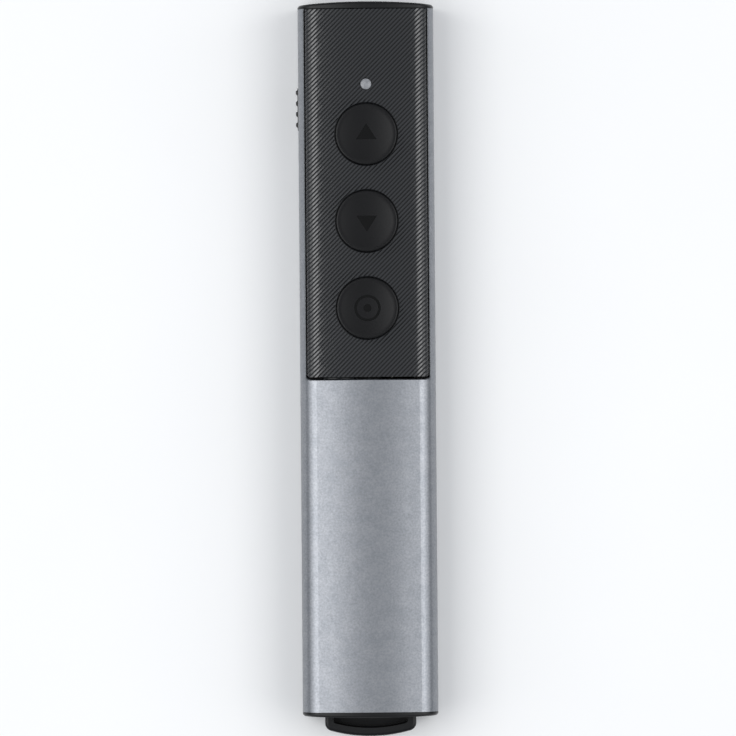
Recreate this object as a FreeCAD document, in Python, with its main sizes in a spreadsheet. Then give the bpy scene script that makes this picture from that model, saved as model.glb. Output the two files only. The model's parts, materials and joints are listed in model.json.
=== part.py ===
import FreeCAD, Part
import math
import os
import re
import Sketcher

# Wireless presentation clicker that lies on its flat back.
# X runs across it, +Y towards the laser end, +Z out of the face with the buttons.
# The origin is the middle of the flat back, halfway along the sleeve. Sizes are in millimetres.

SIZES = {
    # Aluminium sleeve: one extrusion with a crowned front and a flat back
    "sleeve_wall": 1.1,
    "front_corner": 3.6,
    "back_corner": 2.2,
    "crown_radius": 60.0,
    "rail_width": 1.16,
    "window_margin": 7.25,
    "window_corner": 0.65,
    "machined_edge": 0.25,
    # Front panel
    "panel_gap": 0.2,
    "panel_end_gap": 0.35,
    "panel_top_gap": 0.12,
    "panel_recess": 0.05,
    "panel_plate": 1.75,
    "panel_depth": 3.0,
    "panel_foot_width": 1.55,
    # Buttons and their switches
    "button_pitch": 16.0,
    "button_diameter": 10.9,
    "button_gap": 0.3,
    "button_rise": 0.5,
    "button_rim": 0.7,
    "button_edge": 0.3,
    "button_dish": 0.3,
    "flange_overlap": 0.4,
    "flange_thickness": 0.6,
    "flange_gap": 0.15,
    "button_travel": 0.35,
    "travel_reserve": 0.15,
    "stem_diameter": 3.0,
    "stem_length": 0.8,
    "key_size": 6.0,
    "key_height": 1.9,
    "key_corner": 0.5,
    "plunger_diameter": 3.2,
    "plunger_rise": 0.4,
    "plunger_fit": 0.08,
    "plunger_depth": 0.7,
    # Signal lamp and its light pipe
    "lamp_setback": 13.95,
    "lamp_margin": 2.45,
    "pipe_diameter": 2.0,
    "pipe_fit": 0.04,
    "pipe_rise": 0.12,
    "pipe_collar": 0.5,
    "pipe_collar_thickness": 0.4,
    "pipe_gap": 0.1,
    "lamp_length": 1.6,
    "lamp_width": 0.8,
    "lamp_height": 0.6,
    # Power knob in the left side and its slide switch
    "knob_setback": 18.43,
    "knob_length": 8.1,
    "knob_height": 4.0,
    "knob_corner": 0.6,
    "knob_rise": 0.45,
    "knob_travel": 2.0,
    "knob_rib_depth": 0.3,
    "knob_end_margin": 0.08,
    "knob_rib_shift": 0.25,
    "knob_rib_gap": 1.02,
    "knob_slope": 1.0,
    "knob_plate": 0.7,
    "knob_plate_margin": 0.9,
    "knob_gap": 0.15,
    "slider_gap": 0.1,
    "case_length": 8.6,
    "case_width": 3.4,
    "case_height": 3.2,
    "case_margin": 0.25,
    "nub_size": 1.5,
    "nub_reach": 1.3,
    "nub_root": 0.9,
    # Circuit board and what it carries
    "board_thickness": 1.0,
    "board_margin": 1.35,
    "board_tail": 5.95,
    "board_end_gap": 0.35,
    "board_gap": 0.15,
    "board_corner": 1.0,
    "screw_inset": 1.65,
    "screw_start": 5.1,
    "screw_switch_margin": 5.05,
    "screw_diameter": 1.6,
    "screw_length": 4.0,
    "screw_head_diameter": 2.8,
    "screw_head_height": 0.8,
    "screw_fit": 0.1,
    "chip_size": 5.0,
    "chip_height": 0.9,
    "crystal_length": 3.2,
    "crystal_width": 2.5,
    "crystal_height": 0.7,
    "crystal_gap": 0.3,
    # Laser module and its window
    "barrel_diameter": 6.0,
    "barrel_length": 13.0,
    "barrel_wall": 0.8,
    "barrel_fit": 0.05,
    "barrel_entry": 1.0,
    "barrel_headroom": 0.3,
    "lens_thickness": 1.2,
    "lens_setback": 0.6,
    "diode_gap": 0.3,
    "diode_length": 2.6,
    "beam_diameter": 3.2,
    "window_diameter": 5.0,
    "window_thickness": 0.8,
    "window_setback": 0.35,
    "window_fit": 0.04,
    # Moulded inner frame
    "frame_gap": 0.1,
    "frame_floor": 0.8,
    "frame_end_gap": 0.1,
    "lower_bay_half": 6.6,
    "divider": 1.3,
    "cell_roof_gap": 0.2,
    "bay_wall": 0.45,
    "bay_roof": 0.9,
    "core_wall": 0.9,
    "core_ledge": 0.45,
    "boss_half": 2.4,
    # Two AAA cells and their contacts
    "cell_diameter": 10.5,
    "cell_length": 44.5,
    "cell_gap": 0.3,
    "cell_edge": 0.5,
    "terminal_diameter": 3.8,
    "terminal_height": 1.0,
    "spring_length": 3.8,
    "spring_diameter": 5.4,
    "wire_diameter": 0.5,
    "spring_turns": 3.5,
    "contact_thickness": 0.3,
    "contact_gap": 0.1,
    "contact_height": 7.5,
    "tab_width": 2.4,
    "tab_reach": 1.8,
    "tab_fit": 0.05,
    # Battery door that slides off the back
    "door_margin": 0.7,
    "door_recess": 0.1,
    "door_overlap": 1.5,
    "door_lip": 1.0,
    "door_lip_thickness": 0.8,
    "door_gap": 0.15,
    "door_tip": 0.5,
    "door_rise_gap": 0.1,
    "door_corner": 1.0,
    "groove_width": 0.7,
    "groove_pitch": 1.6,
    "groove_length": 10.0,
    "groove_depth": 0.35,
    "groove_start": 5.0,
    # End caps
    "top_cap_rise": 1.25,
    "top_cap_side_rise": 0.65,
    "bottom_cap_rise": 1.0,
    "bottom_cap_side_rise": 0.7,
    "cap_edge": 0.3,
    "cap_skirt": 3.0,
    # Receiver stored in the lower end
    "grip_width": 16.85,
    "grip_reach": 4.6,
    "grip_end_radius": 27.0,
    "grip_corner": 1.5,
    "grip_thickness": 6.5,
    "grip_edge": 0.6,
    "grip_rim": 1.55,
    "grip_floor": 1.3,
    "pocket_start": 0.35,
    "receiver_entry": 1.85,
    "receiver_gap": 0.1,
    "plug_width": 12.0,
    "plug_height": 4.5,
    "plug_length": 11.75,
    "plug_wall": 0.3,
    "plug_gap": 0.15,
    "plug_window": 2.2,
    "plug_window_place": 5.2,
    "tongue_gap": 0.35,
    "tongue_thickness": 1.9,
    "tongue_setback": 0.6,
    "blade_width": 1.0,
    "blade_thickness": 0.15,
    "blade_pitch": 2.4,
    # Reach of every cut beyond the wall that it passes through
    "overrun": 2.0,
}

LAYOUT = {
    # Places from the laser end
    "button_radius": "button_diameter / 2",
    "button_hole": "button_radius + button_gap",
    "up_button_setback": "lamp_setback + pipe_diameter / 2 + lamp_margin + button_hole",
    "lowest_key_setback": "up_button_setback + 2 * button_pitch + key_size / 2",
    "board_setback": "cap_skirt + frame_end_gap + board_end_gap",
    # Length: the board, the cells and the plug, one behind the other
    "board_length": "lowest_key_setback + board_tail - board_setback",
    "board_room": "frame_end_gap + board_end_gap + board_length + board_gap",
    "bay_length": "cell_length + spring_length + 2 * contact_thickness",
    "plug_room": "plug_gap + plug_length + receiver_entry",
    "sleeve_length": "cap_skirt + board_room + 2 * divider + bay_length + plug_room",
    "sleeve_end": "sleeve_length / 2",
    # Width: two cells side by side in the frame
    "cell_radius": "cell_diameter / 2",
    "cell_column": "cell_radius + cell_gap / 2",
    "bay_half": "cell_column + cell_radius + cell_roof_gap",
    "half_width": "bay_half + bay_wall + frame_gap + sleeve_wall",
    # Thickness: the cells over the door, or the switches over the laser, whichever stands higher
    "door_lip_low": "sleeve_wall + door_rise_gap",
    "door_inner": "door_lip_low + door_lip_thickness",
    "door_path_top": "door_inner + door_rise_gap",
    "cell_level": "door_inner + cell_roof_gap + cell_radius",
    "cell_stack": "cell_level + cell_radius + cell_roof_gap + bay_roof + frame_gap + sleeve_wall",
    "floor_top": "sleeve_wall + frame_gap + frame_floor",
    "barrel_level": "floor_top + barrel_diameter / 2 + barrel_fit",
    "board_seat": "barrel_level + barrel_diameter / 2 + barrel_fit + barrel_headroom",
    "board_top": "board_seat + board_thickness",
    "key_top": "board_top + key_height",
    "plunger_top": "key_top + plunger_rise",
    "key_stack": "plunger_top + stem_length + flange_thickness + flange_gap + panel_plate",
    "body_thickness": "max(cell_stack; key_stack)",
    "middle_height": "body_thickness / 2",
    # Sleeve
    "crown_centre": "body_thickness - crown_radius",
    "corner_centre": "half_width - front_corner",
    "window_half": "half_width - rail_width",
    "cavity_half": "half_width - sleeve_wall",
    # Buttons
    "up_button_place": "sleeve_end - up_button_setback",
    "down_button_place": "up_button_place - button_pitch",
    "laser_button_place": "down_button_place - button_pitch",
    "panel_under": "body_thickness - panel_plate",
    "flange_radius": "button_hole + flange_overlap",
    "flange_top": "panel_under - flange_gap",
    "flange_bottom": "flange_top - flange_thickness",
    "button_top": "body_thickness + button_rise",
    "plunger_bottom": "key_top - plunger_depth",
    "key_bore_depth": "plunger_depth + button_travel + travel_reserve",
    # Panel
    "panel_half": "window_half - panel_gap",
    "window_low": "laser_button_place - button_hole - window_margin",
    "panel_low": "window_low + panel_end_gap",
    "panel_high": "sleeve_end - panel_top_gap",
    "panel_length": "panel_high - panel_low",
    "panel_foot": "body_thickness - panel_depth",
    "panel_foot_inner": "panel_half - panel_foot_width",
    # Signal lamp
    "lamp_place": "sleeve_end - lamp_setback",
    "lamp_top": "board_top + lamp_height",
    "pipe_low": "lamp_top + pipe_gap",
    # Knob and slide switch
    "knob_place": "sleeve_end - knob_setback",
    "knob_level": "board_seat - case_height / 2",
    "knob_face": "half_width + knob_rise",
    "knob_root": "cavity_half - slider_gap",
    "knob_inner": "knob_root - knob_plate",
    "slot_low": "knob_place - knob_length / 2 - knob_travel - knob_gap",
    "slot_high": "knob_place + knob_length / 2 + knob_gap",
    "plate_low": "slot_low - slider_gap",
    "plate_high": "slot_high + knob_travel + slider_gap",
    "plate_half_height": "knob_height / 2 + knob_plate_margin",
    "case_centre": "knob_place - knob_travel / 2",
    "case_outer": "knob_inner - knob_plate - slider_gap * 2",
    "case_inner": "case_outer - case_width",
    "case_low": "board_seat - case_height",
    # Board
    "frame_half": "cavity_half - frame_gap",
    "board_half": "frame_half - board_margin",
    "frame_high": "sleeve_end - cap_skirt - frame_end_gap",
    "board_end": "frame_high - board_end_gap",
    "board_start": "board_end - board_length",
    "screw_column": "board_half - screw_inset",
    "screw_low_row": "board_start + screw_start",
    "screw_high_row": "case_centre - case_length / 2 - screw_switch_margin",
    "crystal_place": "screw_column - screw_head_diameter / 2 - crystal_gap - crystal_length / 2",
    # Laser
    "barrel_front": "sleeve_end - cap_skirt + barrel_entry",
    "barrel_back": "barrel_front - barrel_length",
    "barrel_bore": "barrel_diameter / 2 - barrel_wall",
    "window_front": "sleeve_end + top_cap_rise - window_setback",
    "window_back": "window_front - window_thickness",
    # Door
    "bay_high": "board_start - board_gap - divider",
    "door_end": "bay_high + door_overlap",
    "door_low": "-sleeve_end - door_tip",
    "door_half": "half_width - back_corner - door_margin",
    "door_slot_half": "door_half + door_gap",
    "door_lip_half": "door_half + door_lip",
    "door_path_half": "door_lip_half + door_gap",
    # Cells and contacts
    "bay_low": "bay_high - bay_length",
    "cell_high": "bay_high - contact_thickness",
    "cell_low": "bay_low + contact_thickness",
    "contact_width": "2 * sqrt((cell_radius - contact_gap) ^ 2 - (contact_height / 2) ^ 2)",
    "tab_level": "board_top",
    # Receiver
    "grip_half": "grip_width / 2",
    "grip_end": "-sleeve_end - grip_reach",
    "receiver_inner": "-sleeve_end + receiver_entry",
    "plug_end": "receiver_inner + plug_length",
    "plug_way_half": "plug_width / 2 + plug_gap",
    "plug_way_half_height": "plug_height / 2 + plug_gap",
    "tongue_half": "plug_width / 2 - plug_wall - tongue_gap",
    "frame_low": "-sleeve_end + cap_skirt + frame_end_gap",
}

doc = FreeCAD.newDocument("Clicker")


def filled_sheet(name, rows):
    """A sheet with one aliased cell for each row."""
    sheet = doc.addObject("Spreadsheet::Sheet", name)
    for row, (alias, content) in enumerate(rows, start=1):
        sheet.set("A%d" % row, alias)
        sheet.set("B%d" % row, content)
        sheet.setAlias("B%d" % row, alias)
    return sheet


def full(formula):
    """The formula with each size named by its sheet."""
    def named(match):
        word = match.group(0)
        if word in SIZES:
            return "Sizes." + word
        if word in LAYOUT:
            return "Layout." + word
        return word
    return re.sub(r"[a-z][a-z_]*", named, formula)


sizes = filled_sheet("Sizes", [(alias, str(size)) for alias, size in SIZES.items()])
layout = filled_sheet("Layout", [(alias, "=" + full(formula)) for alias, formula in LAYOUT.items()])
doc.recompute()


def value(formula):
    """The formula worked out from the sheets, in millimetres."""
    return float(layout.evalExpression(full(formula)))


def bind(thing, place, formula):
    thing.setExpression(place, full(formula))


def new_body(label):
    body = doc.addObject("PartDesign::Body", label)
    body.Label = label
    return body


def new_sketch(body, name, plane, offset="0"):
    """A sketch on one of the body's own origin planes, moved along its normal by the offset."""
    sketch = body.newObject("Sketcher::SketchObject", body.Label + "_" + name)
    planes = {feature.Role: feature for feature in body.Origin.OriginFeatures}
    sketch.AttachmentSupport = [(planes[plane], "")]
    sketch.MapMode = "FlatFace"
    bind(sketch, "AttachmentOffset.Base.z", offset)
    return sketch


def across(body, name, place):
    """A sketch square to the length, at that place along Y. Its pads run towards -Y."""
    return new_sketch(body, name, "XZ_Plane", "-(%s)" % place)


def flat(body, name, level):
    """A sketch seen from the front, at that level. Its pads run towards +Z."""
    return new_sketch(body, name, "XY_Plane", level)


def dimension(sketch, kind, first, point, formula):
    """Ties one coordinate of a point, or one radius, to a formula."""
    if kind == "Radius":
        number = sketch.addConstraint(Sketcher.Constraint(kind, first, value(formula)))
    elif formula == "0":
        axis = -2 if kind == "DistanceX" else -1
        sketch.addConstraint(Sketcher.Constraint("PointOnObject", first, point, axis))
        return
    else:
        number = sketch.addConstraint(Sketcher.Constraint(kind, -1, 1, first, point, value(formula)))
    bind(sketch, "Constraints[%d]" % number, formula)


def pin(sketch, geometry, point, x, y):
    dimension(sketch, "DistanceX", geometry, point, x)
    dimension(sketch, "DistanceY", geometry, point, y)


def circle(sketch, x, y, radius):
    centre = FreeCAD.Vector(value(x), value(y))
    ring = sketch.addGeometry(Part.Circle(centre, FreeCAD.Vector(0, 0, 1), value(radius)))
    pin(sketch, ring, 3, x, y)
    dimension(sketch, "Radius", ring, 0, radius)


def bend_through(first, crest, last):
    """An arc through three points, kept anticlockwise as a sketch needs it."""
    turns_left = (crest - first).cross(last - crest).z > 0
    return Part.Arc(first, crest, last) if turns_left else Part.Arc(last, crest, first)


def ends_of(arc, start):
    """The numbers of an arc's ends, first the one at the start point."""
    at_start = arc.StartPoint.distanceToPoint(start) < arc.EndPoint.distanceToPoint(start)
    return (1, 2) if at_start else (2, 1)


def outline(sketch, corners):
    """A closed outline of straight lines. A corner is x, y and, where it is rounded, a radius."""
    spots = [FreeCAD.Vector(value(corner[0]), value(corner[1])) for corner in corners]
    count = len(corners)
    entries, exits = [], []
    for index, corner in enumerate(corners):
        spot = spots[index]
        if len(corner) == 2:
            entries.append(spot)
            exits.append(spot)
            continue
        back = (spots[index - 1] - spot).normalize()
        ahead = (spots[(index + 1) % count] - spot).normalize()
        setback = value(corner[2]) / math.tan(back.getAngle(ahead) / 2)
        entries.append(spot + back * setback)
        exits.append(spot + ahead * setback)
    lines = [sketch.addGeometry(Part.LineSegment(exits[index], entries[(index + 1) % count]))
             for index in range(count)]
    for index, corner in enumerate(corners):
        before, after = lines[index - 1], lines[index]
        if len(corner) == 2:
            sketch.addConstraint(Sketcher.Constraint("Coincident", before, 2, after, 1))
            pin(sketch, after, 1, corner[0], corner[1])
            continue
        spot, entry, leave = spots[index], entries[index], exits[index]
        chord_middle = (entry + leave) / 2
        half_chord = (leave - entry).Length / 2
        radius = value(corner[2])
        sagitta = radius - math.sqrt(max(radius ** 2 - half_chord ** 2, 0))
        crest = chord_middle + (spot - chord_middle).normalize() * sagitta
        bend = bend_through(entry, crest, leave)
        arc = sketch.addGeometry(bend)
        first, last = ends_of(bend, entry)
        sketch.addConstraint(Sketcher.Constraint("Tangent", before, 2, arc, first))
        sketch.addConstraint(Sketcher.Constraint("Tangent", arc, last, after, 1))
        dimension(sketch, "Radius", arc, 0, corner[2])
        meet = sketch.addGeometry(Part.Point(spot), True)
        sketch.addConstraint(Sketcher.Constraint("PointOnObject", meet, 1, before))
        sketch.addConstraint(Sketcher.Constraint("PointOnObject", meet, 1, after))
        pin(sketch, meet, 1, corner[0], corner[1])


def rectangle(sketch, left, right, low, high, radius=None):
    rounding = () if radius is None else (radius,)
    outline(sketch, [(left, low) + rounding, (right, low) + rounding,
                     (right, high) + rounding, (left, high) + rounding])


def corner_level():
    """The height of the centres of the sleeve's front corners, where they meet the crown smoothly."""
    reach = value("crown_radius - front_corner")
    return value("crown_centre") + math.sqrt(reach ** 2 - value("corner_centre") ** 2)


def section(sketch, inset):
    """The sleeve's outline, or one parallel to it and further in: flat back, crowned front."""
    def bend(centre_x, centre_y, radius, start, finish):
        direction = [FreeCAD.Vector(math.cos(turn), math.sin(turn)) for turn in (start, finish)]
        centre = FreeCAD.Vector(centre_x, centre_y)
        crest = (direction[0] + direction[1]).normalize()
        return Part.Arc(centre + direction[0] * radius, centre + crest * radius,
                        centre + direction[1] * radius)
    half = value("half_width - (%s)" % inset)
    base = value(inset)
    back = value("back_corner - (%s)" % inset)
    front = value("front_corner - (%s)" % inset)
    crown = value("crown_radius - (%s)" % inset)
    reach = value("crown_radius - front_corner")
    lean = math.asin(value("corner_centre") / reach)
    level = corner_level()
    quarter = math.pi / 2
    pieces = [
        Part.LineSegment(FreeCAD.Vector(back - half, base), FreeCAD.Vector(half - back, base)),
        bend(half - back, base + back, back, -quarter, 0),
        Part.LineSegment(FreeCAD.Vector(half, base + back), FreeCAD.Vector(half, level)),
        bend(half - front, level, front, 0, quarter - lean),
        bend(0, value("crown_centre"), crown, quarter - lean, quarter + lean),
        bend(front - half, level, front, quarter + lean, 2 * quarter),
        Part.LineSegment(FreeCAD.Vector(-half, level), FreeCAD.Vector(-half, base + back)),
        bend(back - half, base + back, back, 2 * quarter, 3 * quarter),
    ]
    numbers = [sketch.addGeometry(piece) for piece in pieces]
    for index, number in enumerate(numbers):
        follower = numbers[(index + 1) % len(numbers)]
        sketch.addConstraint(Sketcher.Constraint("Tangent", number, 2, follower, 1))
    base_line, right_back, right_side, right_front, top, left_front, left_side, left_back = numbers
    sketch.addConstraint(Sketcher.Constraint("Horizontal", base_line))
    sketch.addConstraint(Sketcher.Constraint("Vertical", right_side))
    sketch.addConstraint(Sketcher.Constraint("Vertical", left_side))
    dimension(sketch, "DistanceY", base_line, 1, inset)
    dimension(sketch, "DistanceX", right_side, 1, "half_width - (%s)" % inset)
    dimension(sketch, "DistanceX", left_side, 1, "-half_width + (%s)" % inset)
    pin(sketch, top, 3, "0", "crown_centre")
    dimension(sketch, "Radius", top, 0, "crown_radius - (%s)" % inset)
    for arc in (right_back, left_back):
        dimension(sketch, "Radius", arc, 0, "back_corner - (%s)" % inset)
    for arc in (right_front, left_front):
        dimension(sketch, "Radius", arc, 0, "front_corner - (%s)" % inset)


def grow(kind, sketch, length, reverse=False):
    """A pad or a pocket of that length from the sketch."""
    body = sketch.getParentGeoFeatureGroup()
    feature = body.newObject("PartDesign::" + kind, sketch.Name + "_" + kind.lower())
    feature.Profile = sketch
    bind(feature, "Length", length)
    feature.Reversed = reverse
    return feature


def turn(kind, sketch, axis="V_Axis"):
    """A full revolution or groove about one of the sketch's axes."""
    body = sketch.getParentGeoFeatureGroup()
    feature = body.newObject("PartDesign::" + kind, sketch.Name + "_" + kind.lower())
    feature.Profile = sketch
    feature.ReferenceAxis = (sketch, [axis])
    return feature


def block(body, kind, name, x, y, z):
    """A box added to or cut from a body. Each of x, y and z is its low and its high formula."""
    feature = body.newObject("PartDesign::" + kind + "Box", body.Label + "_" + name)
    for side, axis, (low, high) in (("Length", "x", x), ("Width", "y", y), ("Height", "z", z)):
        bind(feature, side, "(%s) - (%s)" % (high, low))
        bind(feature, "Placement.Base." + axis, low)
    return feature


def rod(body, kind, name, radius, x, z, y):
    """A round bar along Y added to or cut from a body, from the low to the high formula of y."""
    feature = body.newObject("PartDesign::" + kind + "Cylinder", body.Label + "_" + name)
    feature.Placement.Rotation = FreeCAD.Rotation(FreeCAD.Vector(1, 0, 0), -90)
    bind(feature, "Radius", radius)
    bind(feature, "Height", "(%s) - (%s)" % (y[1], y[0]))
    bind(feature, "Placement.Base.x", x)
    bind(feature, "Placement.Base.y", y[0])
    bind(feature, "Placement.Base.z", z)
    return feature


def dress(body, kind, size, wanted, property_name):
    """A fillet or chamfer on the edges of the last feature that the test picks."""
    doc.recompute()
    base = body.Tip
    names = ["Edge%d" % number for number, edge in enumerate(base.Shape.Edges, start=1) if wanted(edge)]
    feature = body.newObject("PartDesign::" + kind, body.Label + "_" + kind.lower())
    feature.Base = (base, names)
    bind(feature, property_name, size)
    return feature


def upright(edge):
    """True for an edge that runs along Z."""
    box = edge.BoundBox
    return box.ZLength > 10 * max(box.XLength, box.YLength)


# The sleeve: an aluminium tube, open at both ends, with the panel window milled in its front,
# the knob slot in its left side and the door slot in its back.
def make_sleeve():
    body = new_body("sleeve")
    profile = across(body, "profile", "sleeve_end")
    section(profile, "0")
    section(profile, "sleeve_wall")
    grow("Pad", profile, "sleeve_length")
    window = flat(body, "window", "body_thickness + overrun")
    outline(window, [("-window_half", "sleeve_end + overrun"),
                     ("-window_half", "window_low", "window_corner"),
                     ("window_half", "window_low", "window_corner"),
                     ("window_half", "sleeve_end + overrun")])
    grow("Pocket", window, "middle_height + overrun")
    slot = new_sketch(body, "slot", "YZ_Plane", "-half_width - overrun")
    rectangle(slot, "slot_low", "slot_high", "knob_level - knob_height / 2 - knob_gap",
              "knob_level + knob_height / 2 + knob_gap", "knob_corner + knob_gap")
    grow("Pocket", slot, "overrun + sleeve_wall * 2", reverse=True)
    door = flat(body, "door_slot", "-overrun")
    outline(door, [("-door_slot_half", "-sleeve_end - overrun"),
                   ("door_slot_half", "-sleeve_end - overrun"),
                   ("door_slot_half", "door_end + door_gap", "door_corner + door_gap"),
                   ("-door_slot_half", "door_end + door_gap", "door_corner + door_gap")])
    grow("Pocket", door, "overrun + sleeve_wall * 2", reverse=True)
    limit = value("window_half")
    low = value("window_low")
    near = value("machined_edge") / 10

    def on_front(vertex):
        along_crown = abs(math.hypot(vertex.X, vertex.Z - value("crown_centre")) - value("crown_radius"))
        corner_turn = math.hypot(abs(vertex.X) - value("corner_centre"), vertex.Z - corner_level())
        return min(along_crown, abs(corner_turn - value("front_corner"))) < near

    def window_rim(edge):
        ends = edge.Vertexes
        inside = all(abs(end.X) < limit + near and end.Y > low - near for end in ends)
        at_sleeve_end = all(end.Y > value("sleeve_end") - near for end in ends)
        return inside and not at_sleeve_end and all(on_front(end) for end in ends)
    dress(body, "Chamfer", "machined_edge", window_rim, "Size")
    return body


# The front panel: a moulded plate with a foot down each side, flush with the sleeve's crown.
def make_front_panel():
    body = new_body("front_panel")
    profile = across(body, "profile", "panel_high")
    section(profile, "panel_recess")
    grow("Pad", profile, "panel_length")
    for name, x in (("left", ("-half_width - overrun", "-panel_half")),
                    ("right", ("panel_half", "half_width + overrun"))):
        block(body, "Subtractive", name, x, ("panel_low - overrun", "sleeve_end + overrun"),
              ("-overrun", "body_thickness + overrun"))
    block(body, "Subtractive", "below", ("-half_width", "half_width"),
          ("panel_low - overrun", "sleeve_end + overrun"), ("-overrun", "panel_foot"))
    block(body, "Subtractive", "under", ("-panel_foot_inner", "panel_foot_inner"),
          ("panel_low - overrun", "sleeve_end + overrun"), ("panel_foot - overrun", "panel_under"))
    holes = flat(body, "holes", "body_thickness + overrun")
    for place in ("up_button_place", "down_button_place", "laser_button_place"):
        circle(holes, "0", place, "button_hole")
    circle(holes, "0", "lamp_place", "pipe_diameter / 2 + pipe_fit")
    grow("Pocket", holes, "panel_depth + overrun")
    low = value("panel_low")

    def lower_corner(edge):
        return upright(edge) and abs(edge.CenterOfMass.y - low) < value("overrun") / 10 \
            and abs(edge.CenterOfMass.x) > value("panel_foot_inner") + value("panel_foot_width") / 2
    dress(body, "Fillet", "window_corner - panel_gap / 2", lower_corner, "Radius")
    return body


# A button: a dished round cap, a flange that the panel holds down and a stem on the switch below.
def make_button(label, place):
    body = new_body(label)
    profile = new_sketch(body, "profile", "XZ_Plane")
    dish = "button_radius - button_rim"
    outline(profile, [("0", "plunger_top"),
                      ("stem_diameter / 2", "plunger_top"),
                      ("stem_diameter / 2", "flange_bottom"),
                      ("flange_radius", "flange_bottom"),
                      ("flange_radius", "flange_top"),
                      ("button_radius", "flange_top"),
                      ("button_radius", "button_top - button_edge"),
                      ("button_radius - button_edge", "button_top"),
                      (dish, "button_top"),
                      ("0", "button_top - button_dish")])
    turn("Revolution", profile)
    bind(body, "Placement.Base.y", place)
    return body


# A key switch on the board: a square case with a bore in which its plunger moves.
def make_key(label, place):
    body = new_body(label)
    case = flat(body, "case", "board_top")
    rectangle(case, "-key_size / 2", "key_size / 2", "-key_size / 2", "key_size / 2", "key_corner")
    grow("Pad", case, "key_height")
    bore = flat(body, "bore", "key_top")
    circle(bore, "0", "0", "plunger_diameter / 2 + plunger_fit")
    grow("Pocket", bore, "key_bore_depth")
    bind(body, "Placement.Base.y", place)
    return body


def make_plunger(label, place):
    body = new_body(label)
    disc = flat(body, "disc", "plunger_bottom")
    circle(disc, "0", "0", "plunger_diameter / 2")
    grow("Pad", disc, "plunger_top - plunger_bottom")
    bind(body, "Placement.Base.y", place)
    return body


# The power knob: a ribbed head in the sleeve's slot, on a plate that slides behind the wall.
def make_power_knob():
    body = new_body("power_knob")
    side = flat(body, "side", "knob_level - knob_height / 2")
    valley = "-knob_face + knob_rib_depth"
    corners = [("-knob_root", "knob_place - knob_length / 2"),
               ("-half_width", "knob_place - knob_length / 2"),
               (valley, "knob_place - knob_length / 2 + knob_slope * 0.5")]
    rib_count = 4
    rib_pitch = "(knob_length - 2 * knob_end_margin) / %d" % rib_count
    rib_width = "(%s - knob_rib_gap)" % rib_pitch
    for index in range(rib_count):
        middle = "(knob_place + knob_rib_shift + %s * %.1f)" % (rib_pitch, index - (rib_count - 1) / 2)
        corners += [(valley, "%s - %s / 2" % (middle, rib_width)),
                    ("-knob_face", "%s - %s / 4" % (middle, rib_width)),
                    ("-knob_face", "%s + %s / 4" % (middle, rib_width)),
                    (valley, "%s + %s / 2" % (middle, rib_width))]
    corners += [(valley, "knob_place + knob_length / 2"),
                ("-knob_root", "knob_place + knob_length / 2")]
    outline(side, corners)
    grow("Pad", side, "knob_height")

    def head_corner(edge):
        box = edge.BoundBox
        ends = (value("knob_place - knob_length / 2"), value("knob_place + knob_length / 2"))
        return box.XLength > 5 * max(box.YLength, box.ZLength) \
            and min(abs(box.Center.y - end) for end in ends) < value("knob_gap") / 2
    dress(body, "Fillet", "knob_corner", head_corner, "Radius")
    block(body, "Additive", "plate", ("-knob_root", "-knob_inner"), ("plate_low", "plate_high"),
          ("knob_level - plate_half_height", "knob_level + plate_half_height"))
    fork = "(nub_size / 2 + slider_gap)"
    block(body, "Subtractive", "socket",
          ("-case_outer - nub_reach - slider_gap", "-knob_inner + overrun"),
          ("knob_place - " + fork, "knob_place + " + fork),
          ("knob_level - " + fork, "knob_level + " + fork))
    return body


# The slide switch under the board: its case, slotted for the nub, and the nub that the knob pushes.
def make_slide_switch():
    case = new_body("slide_switch_case")
    block(case, "Additive", "can", ("-case_outer", "-case_inner"),
          ("case_centre - case_length / 2", "case_centre + case_length / 2"), ("case_low", "board_seat"))
    reach = "(knob_travel / 2 + nub_size / 2 + slider_gap)"
    block(case, "Subtractive", "slot",
          ("-case_outer - overrun", "-case_outer + nub_root + slider_gap"),
          ("case_centre - " + reach, "case_centre + " + reach),
          ("knob_level - nub_size / 2 - slider_gap", "knob_level + nub_size / 2 + slider_gap"))
    nub = new_body("slide_switch_nub")
    block(nub, "Additive", "bar", ("-case_outer - nub_reach", "-case_outer + nub_root"),
          ("knob_place - nub_size / 2", "knob_place + nub_size / 2"),
          ("knob_level - nub_size / 2", "knob_level + nub_size / 2"))
    return case, nub


# The light pipe: a clear rod with a collar under the panel, over the signal lamp on the board.
def make_lamp():
    pipe = new_body("light_pipe")
    profile = new_sketch(pipe, "profile", "XZ_Plane")
    collar = "pipe_diameter / 2 + pipe_collar"
    outline(profile, [("0", "pipe_low"),
                      ("pipe_diameter / 2", "pipe_low"),
                      ("pipe_diameter / 2", "panel_under - pipe_collar_thickness"),
                      (collar, "panel_under - pipe_collar_thickness"),
                      (collar, "panel_under"),
                      ("pipe_diameter / 2", "panel_under"),
                      ("pipe_diameter / 2", "body_thickness"),
                      ("pipe_diameter / 4", "body_thickness + pipe_rise"),
                      ("0", "body_thickness + pipe_rise")])
    turn("Revolution", profile)
    bind(pipe, "Placement.Base.y", "lamp_place")
    lamp = new_body("signal_lamp")
    block(lamp, "Additive", "chip", ("-lamp_length / 2", "lamp_length / 2"),
          ("lamp_place - lamp_width / 2", "lamp_place + lamp_width / 2"), ("board_top", "lamp_top"))
    return pipe, lamp


# The circuit board, its screws into the frame, the radio chip and the crystal beside it.
def screw_places():
    return [(side + "screw_column", row) for side in ("-", "")
            for row in ("screw_low_row", "screw_high_row")]


def make_board():
    body = new_body("main_board")
    plate = flat(body, "plate", "board_seat")
    rectangle(plate, "-board_half", "board_half", "board_start", "board_end", "board_corner")
    for x, y in screw_places():
        circle(plate, x, y, "screw_diameter / 2 + screw_fit")
    grow("Pad", plate, "board_thickness")
    return body


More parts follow.
